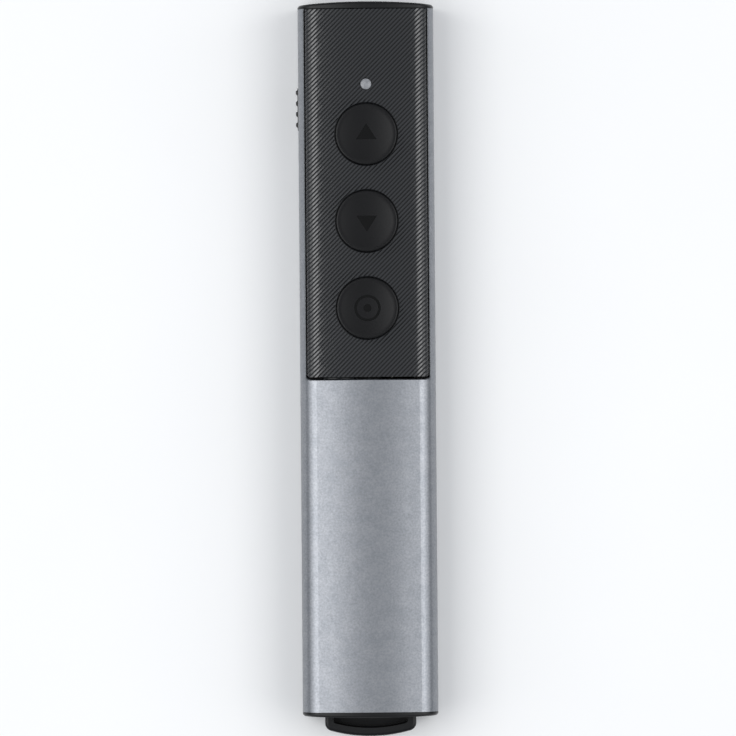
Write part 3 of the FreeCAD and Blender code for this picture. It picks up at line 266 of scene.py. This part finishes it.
def finish_piece(piece, body, replaced, crease=30):
    """Smooth shading up to a crease, and the piece's place in the assembly."""
    bpy.ops.object.select_all(action="DESELECT")
    piece.select_set(True)
    bpy.context.view_layer.objects.active = piece
    bpy.ops.object.shade_smooth_by_angle(angle=math.radians(crease))
    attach(piece, body)
    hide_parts(*replaced)


def moulded_abs(name, code, roughness, grain_size, grain_depth, shine=0.5):
    """ABS, or a plastic like it, from a spark-eroded mould: satin, with a fine even grain and faint
    flow clouds."""
    material, tree = new_material(name)
    place = add_node(tree, "TexCoord").outputs["Object"]
    grain = add_node(tree, "TexNoise", {"Scale": 1 / grain_size, "Detail": 2.0}, {"Vector": place})
    cloud = add_node(tree, "TexNoise", {"Scale": 1 / flow_size, "Detail": 3.0}, {"Vector": place})
    colour = add_node(tree, "MixRGB", {"blend_type": "MULTIPLY", "Color1": linear(code),
                                       "Color2": linear("#D8D8DC")}, {"Fac": cloud.outputs["Fac"]})
    rough = add_node(tree, "MapRange", {"To Min": roughness - 0.05, "To Max": roughness + 0.05},
                     {"Value": grain.outputs["Fac"]})
    bump = add_node(tree, "Bump", {"Strength": 0.5, "Distance": grain_depth},
                    {"Height": grain.outputs["Fac"]})
    shader = add_node(tree, "BsdfPrincipled", {"IOR": 1.5, "Specular IOR Level": shine},
                      {"Base Color": colour.outputs["Color"], "Roughness": rough.outputs["Result"],
                       "Normal": bump.outputs["Normal"]})
    add_node(tree, "OutputMaterial", links={"Surface": shader.outputs["BSDF"]})
    return material


button_places = [middle_of(name + "_button").y for name in ("up", "down", "laser")]
lamp_place = middle_of("light_pipe").y
panel_middle = (panel_low.y + panel_high.y) / 2
row_height = rib_pitch / rows_per_rib
diagonal = (2 * panel_half + panel_high.y - panel_low.y) / math.sqrt(2)
row_count = rows_per_rib * math.ceil(diagonal / rib_pitch)
sheet_size = row_count * row_height

bpy.ops.object.select_all(action="DESELECT")
bpy.ops.mesh.primitive_grid_add(x_subdivisions=round(sheet_size / rib_step), y_subdivisions=row_count,
                                size=sheet_size)
panel = start_piece("ribbed_panel")
edit(panel)
choose(panel, "vertices", lambda spot: round((spot.y + sheet_size / 2) / row_height) % rows_per_rib == 0)
bpy.ops.transform.translate(value=(0, 0, -rib_depth))
bpy.ops.object.mode_set(mode="OBJECT")
panel.rotation_euler.z = rib_turn
panel.location = (0, panel_middle, panel_high.z)
panel = start_piece("ribbed_panel")
edit(panel)
clips = [((side * panel_half, 0, 0), (side, 0, 0)) for side in (-1, 1)]
clips += [((0, panel_high.y, 0), (0, 1, 0)), ((0, panel_low.y, 0), (0, -1, 0))]
for side in (-1, 1):
    for turn in corner_turns:
        angle = math.radians(turn)
        outward = (side * math.cos(angle), -math.sin(angle), 0)
        clips.append(((side * (panel_half - panel_corner) + outward[0] * panel_corner,
                       panel_low.y + panel_corner + outward[1] * panel_corner, 0), outward))
for spot, outward in clips:
    bpy.ops.mesh.select_all(action="SELECT")
    bpy.ops.mesh.bisect(plane_co=spot, plane_no=outward, clear_outer=True)
for x in shoulder_cuts:
    for side in (-1, 1):
        bpy.ops.mesh.select_all(action="SELECT")
        bpy.ops.mesh.bisect(plane_co=(side * x, 0, 0), plane_no=(1, 0, 0))
bpy.ops.mesh.select_all(action="SELECT")
bpy.ops.mesh.extrude_region_move(TRANSFORM_OT_translate={"value": (0, 0, panel_under - panel_high.z)})
plate_middle = (panel_under + panel_high.z) / 2
choose(panel, "vertices", lambda spot: spot.z < plate_middle)
bpy.ops.transform.resize(value=(1, 1, 0), center_override=(0, 0, panel_under))
bpy.ops.mesh.select_all(action="SELECT")
bpy.ops.mesh.normals_make_consistent(inside=False)
choose(panel, "faces", lambda spot, normal: normal.z < faces_down and abs(spot.x) > panel_foot_inner)
bpy.ops.mesh.extrude_region_move(TRANSFORM_OT_translate={"value": (0, 0, panel_low.z - panel_under)})
choose(panel, "faces", lambda spot, normal: normal.z < faces_down)
bpy.ops.mesh.dissolve_limited(angle_limit=math.radians(1))
bpy.ops.object.mode_set(mode="OBJECT")

# A smooth rim fills the grooves round each button hole, and a cone chamfers the hole's edge. The
# cone runs on below and above the chamfer, so that it crosses the other faces cleanly.
rim_height = panel_high.z - rim_sink - plate_middle
for place in button_places:
    bpy.ops.mesh.primitive_cylinder_add(vertices=round_sides, radius=button_hole + rim_around_hole,
                                        depth=rim_height, location=(0, place, plate_middle + rim_height / 2))
    combine(panel, [start_piece("rim")], operation="UNION")
holes = []
for place in button_places + [lamp_place]:
    hole_radius = lamp_hole if place == lamp_place else button_hole
    bpy.ops.mesh.primitive_cylinder_add(vertices=round_sides, radius=hole_radius, depth=hole_reach,
                                        location=(0, place, plate_middle))
    holes.append(start_piece("hole"))
for place in button_places:
    bpy.ops.mesh.primitive_cone_add(vertices=round_sides, radius1=button_hole - hole_edge_width,
                                    radius2=button_hole + 3 * hole_edge_width, depth=4 * hole_edge_depth,
                                    location=(0, place, panel_high.z))
    holes.append(start_piece("hole_edge"))
combine(panel, holes)
for vertex in panel.data.vertices:
    if vertex.co.z > plate_middle:
        vertex.co.z -= crown_drop(vertex.co.x)

rib_direction = (-math.sin(rib_turn) / rib_pitch, math.cos(rib_turn) / rib_pitch, 0)
first_groove = sheet_size / 2 / rib_pitch - panel_middle * rib_direction[1]
# Painted shade: the grooves between the ribs get a darker colour than the ribs' tops.
groove_painted_shade = "#0A0B0D"
rib_colour = "#1D1E21"


def ribbed_abs():
    """The panel's ABS, with painted shade in the grooves between the ribs: there the colour is darker and the
    reflection weaker than on the ribs' tops.
    """
    material = moulded_abs("panel_abs", groove_painted_shade, roughness=0.17, grain_size=mm(0.12),
                           grain_depth=mm(0.001))
    tree = material.node_tree
    place = add_node(tree, "TexCoord").outputs["Object"]
    across = add_node(tree, "VectorMath", {"operation": "DOT_PRODUCT", 1: rib_direction}, {0: place})
    count = add_node(tree, "Math", {"operation": "ADD", 1: first_groove}, {0: across.outputs["Value"]})
    from_groove = add_node(tree, "Math", {"operation": "PINGPONG", 1: 0.5}, {0: count.outputs[0]})
    # Painted shade: off the ribs' tops, in the grooves, the colour turns darker and the specular level lower.
    top = add_node(tree, "Math", {"operation": "GREATER_THAN", 1: 1 / rows_per_rib},
                   {0: from_groove.outputs[0]})
    colour = add_node(tree, "MixRGB", {"Color1": linear(groove_painted_shade), "Color2": linear(rib_colour)},
                      {"Fac": top.outputs[0]})
    shine = add_node(tree, "MapRange", {"To Min": 0.75, "To Max": 1.0}, {"Value": top.outputs[0]})
    for node in tree.nodes:
        if node.type == "MIX_RGB" and node.blend_type == "MULTIPLY":
            tree.links.new(colour.outputs["Color"], node.inputs["Color1"])
        if node.type == "BSDF_PRINCIPLED":
            tree.links.new(shine.outputs["Result"], node.inputs["Specular IOR Level"])
    return material


panel.data.materials.clear()
panel.data.materials.append(ribbed_abs())
finish_piece(panel, "handset", ["front_panel"], crease=panel_crease)

# Buttons
# Three round ABS caps of one mould with a shallow dish. A flange below keeps each one in its hole,
# and a stem presses the switch. Each symbol is sunk into the dish and left glossy.

button_low, button_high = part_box("up_button")
cap_radius = mm(5.64)
cap_round = mm(0.24)
rim_width = mm(0.35)
dish_depth = mm(0.3)
dish_shares = (0.15, 0.3, 0.45, 0.6, 0.72, 0.84, 0.93, 1.0)
flange_radius = button_high.x
flange_top = mm(13.1)
flange_bottom = mm(12.5)
stem_radius = mm(1.5)
symbol_depth = mm(0.12)
symbol_haze = mm(1.5)
cutter_height = mm(2)
triangle_radius = mm(1.95)
triangle_stretch = 1.12
ring_radius = mm(2.42)
ring_line = mm(0.45)
dot_radius = mm(0.72)


def turned(name, place, profile, sides=round_sides):
    """A solid of revolution: a filled ring, extruded ring by ring along the profile to a point.
    The profile is pairs of radius and height."""
    first_radius, first_height = profile[0]
    bpy.ops.object.select_all(action="DESELECT")
    bpy.ops.mesh.primitive_circle_add(vertices=sides, radius=first_radius, fill_type="TRIFAN",
                                      location=(place[0], place[1], first_height))
    piece = start_piece(name)
    edit(piece)
    select_open_edges()
    for (radius, height), (next_radius, next_height) in zip(profile, profile[1:]):
        bpy.ops.mesh.extrude_edges_move(TRANSFORM_OT_translate={"value": (0, 0, next_height - height)})
        if next_radius == 0:
            bpy.ops.mesh.merge(type="CENTER")
            break
        share = next_radius / radius
        bpy.ops.transform.resize(value=(share, share, 1), center_override=(place[0], place[1], next_height))
    bpy.ops.mesh.select_all(action="SELECT")
    bpy.ops.mesh.normals_make_consistent(inside=False)
    bpy.ops.object.mode_set(mode="OBJECT")
    return piece


def round_over(radius, height, bend, steps=5):
    """A quarter round from a flat top down to an upright side, as radius and height."""
    turns = [math.pi / 2 * step / steps for step in range(steps + 1)]
    return [(radius - bend + bend * math.sin(turn), height - bend + bend * math.cos(turn))
            for turn in turns]


def symbol_gloss():
    """The symbols: ABS from a polished part of the mould, so darker and glossier than the cap."""
    material, tree = new_material("polished_abs")
    place = add_node(tree, "TexCoord").outputs["Object"]
    haze = add_node(tree, "TexNoise", {"Scale": 1 / symbol_haze, "Detail": 2.0}, {"Vector": place})
    colour = add_node(tree, "MixRGB", {"Color1": linear("#050505"), "Color2": linear("#090909")},
                      {"Fac": haze.outputs["Fac"]})
    shader = add_node(tree, "BsdfPrincipled", {"IOR": 1.5, "Roughness": 0.25, "Specular IOR Level": 0.19},
                      {"Base Color": colour.outputs["Color"]})
    add_node(tree, "OutputMaterial", links={"Surface": shader.outputs["BSDF"]})
    return material


button_abs = moulded_abs("button_abs", "#0A0A0C", roughness=0.3, grain_size=mm(0.15),
                         grain_depth=mm(0.002), shine=0.25)
symbol_abs = symbol_gloss()
dish_floor = button_high.z - dish_depth
dish_radius = cap_radius - cap_round - rim_width
dish = [(dish_radius * share, dish_floor + dish_depth * share ** 2) for share in dish_shares]
button_profile = dish + round_over(cap_radius, button_high.z, cap_round)
button_profile += [(cap_radius, flange_top), (flange_radius, flange_top), (flange_radius, flange_bottom),
                   (stem_radius, flange_bottom), (stem_radius, button_low.z), (0, button_low.z)]


def symbol_cutters(kind, place):
    """The closed shapes that sink a symbol into the dish: a triangle, or a ring round a dot."""
    level = dish_floor - symbol_depth + cutter_height / 2
    sunk = []
    if kind in ("up", "down"):
        bpy.ops.mesh.primitive_cylinder_add(vertices=3, radius=triangle_radius, depth=cutter_height,
                                            location=(0, place, level))
        bpy.context.object.rotation_euler.z = math.radians(0 if kind == "up" else -180)
        triangle = start_piece("triangle")
        edit(triangle)
        bpy.ops.transform.resize(value=(triangle_stretch, 1, 1), center_override=(0, place, level))
        bpy.ops.object.mode_set(mode="OBJECT")
        sunk.append(triangle)
    else:
        bpy.ops.mesh.primitive_cylinder_add(vertices=round_sides // 2, radius=dot_radius, depth=cutter_height,
                                            location=(0, place, level))
        sunk.append(start_piece("dot"))
        bpy.ops.mesh.primitive_cylinder_add(vertices=round_sides, radius=ring_radius, depth=cutter_height,
                                            location=(0, place, level))
        ring = start_piece("ring")
        bpy.ops.mesh.primitive_cylinder_add(vertices=round_sides, radius=ring_radius - ring_line,
                                            depth=1.5 * cutter_height, location=(0, place, level))
        combine(ring, [start_piece("core")])
        sunk.append(ring)
    for cutter in sunk:
        cutter.data.materials.clear()
        cutter.data.materials.append(symbol_abs)
    return sunk


for label in ("up", "down", "laser"):
    place = middle_of(label + "_button").y
    button = turned(label + "_cap", (0, place), button_profile)
    button.data.materials.append(button_abs)
    combine(button, symbol_cutters(label, place))
    finish_piece(button, label + "_button", [label + "_button"])

# Signal lamp
# A clear rod carries the light of the lamp on the board to the face. Its end is domed and frosted,
# so that it looks pale grey when the lamp is off. A collar stops it from falling out.

pipe_low, pipe_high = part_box("light_pipe")
pipe_radius = mm(1.0)
collar_radius = pipe_high.x
collar_low = mm(12.85)
pipe_sides = 64
pipe_streak = mm(0.5)
dome_height = mm(0.22)
dome_turns = [math.radians(turn) for turn in (12, 25, 40, 55, 70, 82, 90)]
pipe_profile = [(pipe_radius * math.sin(turn), pipe_high.z - dome_height * (1 - math.cos(turn)))
                for turn in dome_turns]
pipe_profile += [(pipe_radius, panel_under), (collar_radius, panel_under), (collar_radius, collar_low),
                 (pipe_radius, collar_low), (pipe_radius, pipe_low.z), (0, pipe_low.z)]


def frosted_acrylic():
    """Frosted acrylic: pale, with a soft gloss and tiny streaks from moulding."""
    material, tree = new_material("frosted_acrylic")
    place = add_node(tree, "TexCoord").outputs["Object"]
    streak = add_node(tree, "TexNoise", {"Scale": 1 / pipe_streak, "Detail": 3.0}, {"Vector": place})
    colour = add_node(tree, "MixRGB", {"Color1": linear("#55575B"), "Color2": linear("#A0A2A6")},
                      {"Fac": streak.outputs["Fac"]})
    shader = add_node(tree, "BsdfPrincipled", {"IOR": 1.49, "Roughness": 0.35, "Coat Weight": 0.4},
                      {"Base Color": colour.outputs["Color"]})
    add_node(tree, "OutputMaterial", links={"Surface": shader.outputs["BSDF"]})
    return material


pipe = turned("lamp_lens", (0, lamp_place), pipe_profile, pipe_sides)
pipe.data.materials.append(frosted_acrylic())
finish_piece(pipe, "handset", ["light_pipe"])

# Power knob
# A small ABS slider in the left side with four grip ribs. It is moulded in one with the plate
# that holds it behind the wall, and all its edges are slightly rounded.

knob_edge = mm(0.09)
same_face = 0.3
sharp_edge = 35


def rounded_copy(name, node, edge):
    """A piece of the node's own shape, in clean faces, with its sharp edges rounded."""
    piece = frame["nodes"][node].copy()
    piece.data = frame["nodes"][node].data.copy()
    bpy.context.scene.collection.objects.link(piece)
    piece.parent = None
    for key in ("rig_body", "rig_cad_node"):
        del piece[key]
    piece.name = name
    piece.data.name = name
    edit(piece)
    bpy.ops.mesh.remove_doubles(threshold=seam_gap)
    bpy.ops.mesh.customdata_custom_splitnormals_clear()
    bpy.ops.mesh.dissolve_limited(angle_limit=math.radians(same_face))
    bpy.ops.object.mode_set(mode="OBJECT")
    apply_modifier(piece, "BEVEL", width=edge, segments=2, limit_method="ANGLE",
                   angle_limit=math.radians(sharp_edge))
    return piece


cap_abs = moulded_abs("cap_abs", "#0B0C0E", roughness=0.32, grain_size=mm(0.2),
                      grain_depth=mm(0.003), shine=0.28)
knob = rounded_copy("ribbed_knob", "power_knob", knob_edge)
knob.data.materials.clear()
knob.data.materials.append(cap_abs)
finish_piece(knob, "power_switch", ["power_knob"])

# End caps and receiver grip
# ABS mouldings in black, satin from a finely eroded mould. The caps are pressed into the sleeve's
# ends. The grip is hollowed in front for a fingernail, to pull the receiver out.

cap_rounding = mm(0.1)
for node in ("top_cap", "bottom_cap"):
    cap = rounded_copy("rounded_" + node, node, cap_rounding)
    cap.data.materials.clear()
    cap.data.materials.append(cap_abs)
    finish_piece(cap, "handset", [node])
dress(["receiver_grip"], cap_abs)

# Battery door
# An ABS plate that slides off over the lower end. Lips along its sides run behind the sleeve's
# back wall, and five grooves near its end give the thumb a hold.

door_edge = mm(0.12)
door_abs = moulded_abs("door_abs", "#1D1D20", roughness=0.48, grain_size=mm(0.25), grain_depth=mm(0.006))
door = rounded_copy("sliding_door", "battery_door", door_edge)
door.data.materials.clear()
door.data.materials.append(door_abs)
finish_piece(door, "battery_door", ["battery_door"])

# Inner frame
# One glass-filled ABS moulding that holds the board, the laser, the cells and the receiver. It is
# duller than the outer mouldings.

frame_abs = moulded_abs("frame_abs", "#0E0E10", roughness=0.6, grain_size=mm(0.3),
                        grain_depth=mm(0.008), shine=0.3)
dress(["inner_frame"], frame_abs)

# Cells
# Two AAA cells, side by side and opposite ways round. Each is a steel can in a printed plastic
# jacket that is shrunk over its ends, with a pressed cap as its positive terminal.

cell_low, cell_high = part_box("left_cell")
cell_length = cell_high.y - cell_low.y
cell_radius = mm(5.25)
cell_bend = mm(0.5)
cell_sides = 64
terminal_radius = mm(1.9)
terminal_height = mm(1.0)
terminal_round = mm(0.15)
terminal_top_share = 0.8
seal_inset = mm(1.3)
seal_sink = mm(0.05)
can_mouth_inset = mm(1.2)
base_rim = mm(1.0)
base_slope = mm(0.05)
base_sink = mm(0.12)
base_end_share = 0.018
top_end_share = 0.955
film_ripple = mm(6)
film_depth = mm(0.02)


def cell_jacket():
    """Printed, shrunk film on a steel can: glossy, slate blue, with pale rings and a black positive end."""
    material, tree = new_material("shrink_film")
    along = add_node(tree, "UVMap", {"uv_map": "length"})
    axes = add_node(tree, "SeparateXYZ", links={"Vector": along.outputs["UV"]})
    bands = add_node(tree, "ValToRGB", links={"Fac": axes.outputs["Y"]})
    bands.color_ramp.interpolation = "CONSTANT"
    stops = [(0.0, "#8C9096"), (base_end_share, "#C9CDD1"), (0.06, "#24384F"), (0.7, "#C9CDD1"),
             (0.72, "#1A2026"), (top_end_share, "#8C9096")]
    while len(bands.color_ramp.elements) < len(stops):
        bands.color_ramp.elements.new(1.0)
    for element, (place, code) in zip(bands.color_ramp.elements, stops):
        element.position = place
        element.color = linear(code)
    metal = add_node(tree, "ValToRGB", links={"Fac": axes.outputs["Y"]})
    metal.color_ramp.interpolation = "CONSTANT"
    metal.color_ramp.elements.new(top_end_share)
    bare_steel = [(0.0, 1), (base_end_share, 0), (top_end_share, 1)]
    for element, (place, share) in zip(metal.color_ramp.elements, bare_steel):
        element.position = place
        element.color = (share, share, share, 1)
    place = add_node(tree, "TexCoord").outputs["Object"]
    ripple = add_node(tree, "TexNoise", {"Scale": 1 / film_ripple, "Detail": 2.0}, {"Vector": place})
    bump = add_node(tree, "Bump", {"Strength": 0.2, "Distance": film_depth},
                    {"Height": ripple.outputs["Fac"]})
    rough = add_node(tree, "MapRange", {"To Min": 0.2, "To Max": 0.32}, {"Value": ripple.outputs["Fac"]})
    shader = add_node(tree, "BsdfPrincipled",
                      links={"Base Color": bands.outputs["Color"], "Metallic": metal.outputs["Color"],
                             "Roughness": rough.outputs["Result"], "Normal": bump.outputs["Normal"]})
    add_node(tree, "OutputMaterial", links={"Surface": shader.outputs["BSDF"]})
    return material


shrink_film = cell_jacket()
can_top = cell_length - terminal_height
shoulder = round_over(cell_radius, can_top, cell_bend, steps=4)
cell_profile = [(terminal_radius * terminal_top_share, cell_length),
                (terminal_radius, cell_length - terminal_round), (terminal_radius, can_top - seal_sink),
                (cell_radius - seal_inset, can_top - seal_sink), (cell_radius - can_mouth_inset, can_top)]
cell_profile += shoulder
cell_profile += [(radius, can_top - height) for radius, height in reversed(shoulder)]
cell_profile += [(cell_radius - base_rim, 0), (cell_radius - base_rim - base_slope, base_sink),
                 (0, base_sink)]
for label, turn in (("left", -90), ("right", 90)):
    centre = middle_of(label + "_cell")
    cell = turned(label + "_battery", (0, 0), cell_profile, cell_sides)
    lengths = cell.data.uv_layers.new(name="length")
    for loop in cell.data.loops:
        lengths.data[loop.index].uv = (0, cell.data.vertices[loop.vertex_index].co.z / cell_length)
    cell.rotation_euler.x = math.radians(turn)
    cell.location = (centre.x, centre.y + math.copysign(cell_length / 2, turn), centre.z)
    bpy.ops.object.select_all(action="DESELECT")
    cell.select_set(True)
    bpy.context.view_layer.objects.active = cell
    start_piece(label + "_battery")
    cell.data.materials.append(shrink_film)
    finish_piece(cell, "handset", [label + "_cell"])

# Battery contacts
# Nickel-plated spring steel: two plates with tabs onto the board, one plate that joins the cells,
# and a wound coil at each negative end.

wire_radius = mm(0.25)
wire_sides = 14
coil_turns = 3.5
coil_steps = round(36 * coil_turns)
coil_crease = 60
draw_mark = mm(0.6)


def plated_steel(name, code, roughness):
    """Plated steel as sheet or wire, or a turned metal: bright, with faint tool marks and slight
    colour changes."""
    material, tree = new_material(name)
    place = add_node(tree, "TexCoord").outputs["Object"]
    marks = add_node(tree, "TexNoise", {"Scale": 1 / draw_mark, "Detail": 3.0}, {"Vector": place})
    colour = add_node(tree, "MixRGB", {"blend_type": "MULTIPLY", "Color1": linear(code),
                                       "Color2": linear("#DCD8D2")}, {"Fac": marks.outputs["Fac"]})
    rough = add_node(tree, "MapRange", {"To Min": roughness - 0.06, "To Max": roughness + 0.08},
                     {"Value": marks.outputs["Fac"]})
    shader = add_node(tree, "BsdfPrincipled", {"Metallic": 1.0},
                      {"Base Color": colour.outputs["Color"], "Roughness": rough.outputs["Result"]})
    add_node(tree, "OutputMaterial", links={"Surface": shader.outputs["BSDF"]})
    return material


nickel = plated_steel("nickel_plate", "#C9C5BD", 0.24)
dress(["positive_contact", "negative_contact", "bridge_contact"], nickel)
for node in ("negative_spring", "bridge_spring"):
    low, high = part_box(node)
    centre = (low + high) / 2
    coil_radius = (high.x - low.x) / 2 - wire_radius
    bpy.ops.object.select_all(action="DESELECT")
    bpy.ops.mesh.primitive_circle_add(vertices=wire_sides, radius=wire_radius,
                                      location=(coil_radius, 0, wire_radius),
                                      rotation=(math.radians(90), 0, 0))
    spring = start_piece(node + "_coil")
    apply_modifier(spring, "SCREW", axis="Z", angle=math.radians(360) * coil_turns, iterations=1,
                   steps=coil_steps, render_steps=coil_steps,
                   screw_offset=high.y - low.y - 2 * wire_radius, use_merge_vertices=False)
    edit(spring)
    select_open_edges()
    bpy.ops.mesh.fill_holes(sides=0)
    bpy.ops.mesh.select_all(action="SELECT")
    bpy.ops.mesh.normals_make_consistent(inside=False)
    bpy.ops.object.mode_set(mode="OBJECT")
    spring.rotation_euler.x = math.radians(-90)
    spring.location = (centre.x, low.y, centre.z)
    start_piece(node + "_coil")
    spring.data.materials.append(nickel)
    finish_piece(spring, "handset", [node], crease=coil_crease)

# Board and switches
# A green glass-epoxy board with black switch cases, a radio chip, a crystal can and steel screws.

track_pitch = mm(6)


def solder_mask():
    """Solder mask over copper: green and glossy, with paler lines where the tracks lie under it."""
    material, tree = new_material("solder_mask")
    place = add_node(tree, "TexCoord").outputs["Object"]
    tracks = add_node(tree, "TexBrick", {"Scale": 1 / track_pitch, "Color1": linear("#0F4A2C"),
                                         "Color2": linear("#0D4428"), "Mortar": linear("#2E7A4C"),
                                         "Mortar Size": 0.03}, {"Vector": place})
    shader = add_node(tree, "BsdfPrincipled", {"IOR": 1.5, "Roughness": 0.3},
                      {"Base Color": tracks.outputs["Color"]})
    add_node(tree, "OutputMaterial", links={"Surface": shader.outputs["BSDF"]})
    return material


component_black = moulded_abs("component_epoxy", "#1F1F21", roughness=0.55, grain_size=mm(0.1),
                              grain_depth=mm(0.003))
plunger_nylon = moulded_abs("plunger_nylon", "#C9C5BC", roughness=0.5, grain_size=mm(0.2),
                            grain_depth=mm(0.003))
dress(["main_board"], solder_mask())
dress(["up_key", "down_key", "laser_key", "slide_switch_case", "radio_chip"], component_black)
dress(["up_plunger", "down_plunger", "laser_plunger", "slide_switch_nub"], plunger_nylon)
dress(["crystal"], plated_steel("crystal_can", "#CFCFD2", 0.22))
dress(["board_screws"], plated_steel("zinc_screw", "#A9A8A6", 0.3))
dress(["signal_lamp"], frosted_acrylic())

# Laser
# A brass barrel with a glass lens and the diode in its steel can. A small tinted window in the
# top cap lets the beam out.

glass_haze = mm(2)


def tinted_glass():
    """Tinted glass: clear, dark red, with a polished face."""
    material, tree = new_material("tinted_glass")
    place = add_node(tree, "TexCoord").outputs["Object"]
    haze = add_node(tree, "TexNoise", {"Scale": 1 / glass_haze, "Detail": 2.0}, {"Vector": place})
    colour = add_node(tree, "MixRGB", {"Color1": linear("#3A1214"), "Color2": linear("#4A1618")},
                      {"Fac": haze.outputs["Fac"]})
    shader = add_node(tree, "BsdfPrincipled", {"IOR": 1.52, "Roughness": 0.05, "Transmission Weight": 0.6},
                      {"Base Color": colour.outputs["Color"]})
    add_node(tree, "OutputMaterial", links={"Surface": shader.outputs["BSDF"]})
    return material


glass = tinted_glass()
dress(["laser_window", "laser_lens"], glass)
dress(["laser_barrel"], plated_steel("turned_brass", "#C9A25A", 0.25))
dress(["laser_diode"], plated_steel("diode_can", "#BFC0C2", 0.25))

# Receiver plug
# A folded shell of plated steel round a black tongue with four gilt blades.

dress(["plug_shell"], plated_steel("tinned_shell", "#C6C7C9", 0.22))
dress(["plug_tongue"], component_black)
dress(["plug_blades"], plated_steel("gilt_contact", "#D9B45B", 0.2))

# Studio
# The clicker lies on a white table. Four long soft strips of light hang on each side of it, and the
# room above is a plain grey, which gives the crown its darker middle.

front_level = mm(15)
frame_width = mm(135.28)
frame_middle_y = mm(-1.42)
camera_distance = 1.2
camera_turn = math.radians(-0.44)
camera_near = 0.01
camera_far = 50
sensor_width = 36
table_size = 8
table_gap = mm(0.03)
table_fleck = mm(40)
room_colour = (0.38, 0.4, 0.425, 1)
lamp_distance = 0.75
lamp_length = 0.6

# Each strip's name, its side, the angles from upright between which it is seen, and its brightness.
lamps = [("left_inner", -1, 10.5, 17, 2.75),
         ("left_main", -1, 17, 28, 2.45),
         ("left_middle", -1, 28, 46, 2.7),
         ("left_outer", -1, 46, 70, 1.15),
         ("right_inner", 1, 13, 19, 1.3),
         ("right_main", 1, 19, 30, 2.2),
         ("right_middle", 1, 30, 46, 2.55),
         ("right_outer", 1, 46, 70, 1.1)]

bpy.ops.object.select_all(action="DESELECT")
bpy.ops.mesh.primitive_plane_add(size=table_size, location=(0, 0, -table_gap))
floor = bpy.context.object
floor.name = "table"
white_paint, tree = new_material("white_table")
place = add_node(tree, "TexCoord").outputs["Object"]
fleck = add_node(tree, "TexNoise", {"Scale": 1 / table_fleck, "Detail": 2.0}, {"Vector": place})
tone = add_node(tree, "MixRGB", {"Color1": linear("#F4F4F4"), "Color2": linear("#F7F7F7")},
                {"Fac": fleck.outputs["Fac"]})
matt_white = add_node(tree, "BsdfDiffuse", links={"Color": tone.outputs["Color"]})
add_node(tree, "OutputMaterial", links={"Surface": matt_white.outputs["BSDF"]})
floor.data.materials.append(white_paint)

world = bpy.data.worlds.new("room")
world.use_nodes = True
world.node_tree.nodes["Background"].inputs["Color"].default_value = room_colour
bpy.context.scene.world = world

for name, side, inner, outer, radiance in lamps:
    lean_out = math.radians((inner + outer) / 2)
    width = 2 * lamp_distance * math.tan(math.radians((outer - inner) / 2))
    bpy.ops.object.light_add(type="AREA", rotation=(0, side * lean_out, 0),
                             location=(side * lamp_distance * math.sin(lean_out), 0,
                                       lamp_distance * math.cos(lean_out)))
    lamp = bpy.context.object
    lamp.name = name
    lamp.data.shape = "RECTANGLE"
    lamp.data.size = width
    lamp.data.size_y = lamp_length
    lamp.data.energy = radiance * math.pi * width * lamp_length

bpy.ops.object.camera_add(location=(0, frame_middle_y, front_level + camera_distance),
                          rotation=(0, 0, camera_turn))
camera = bpy.context.object
camera.data.sensor_width = sensor_width
camera.data.lens = sensor_width * camera_distance / frame_width
camera.data.clip_start = camera_near
camera.data.clip_end = camera_far
bpy.context.scene.camera = camera
bpy.context.scene.view_settings.view_transform = "Standard"
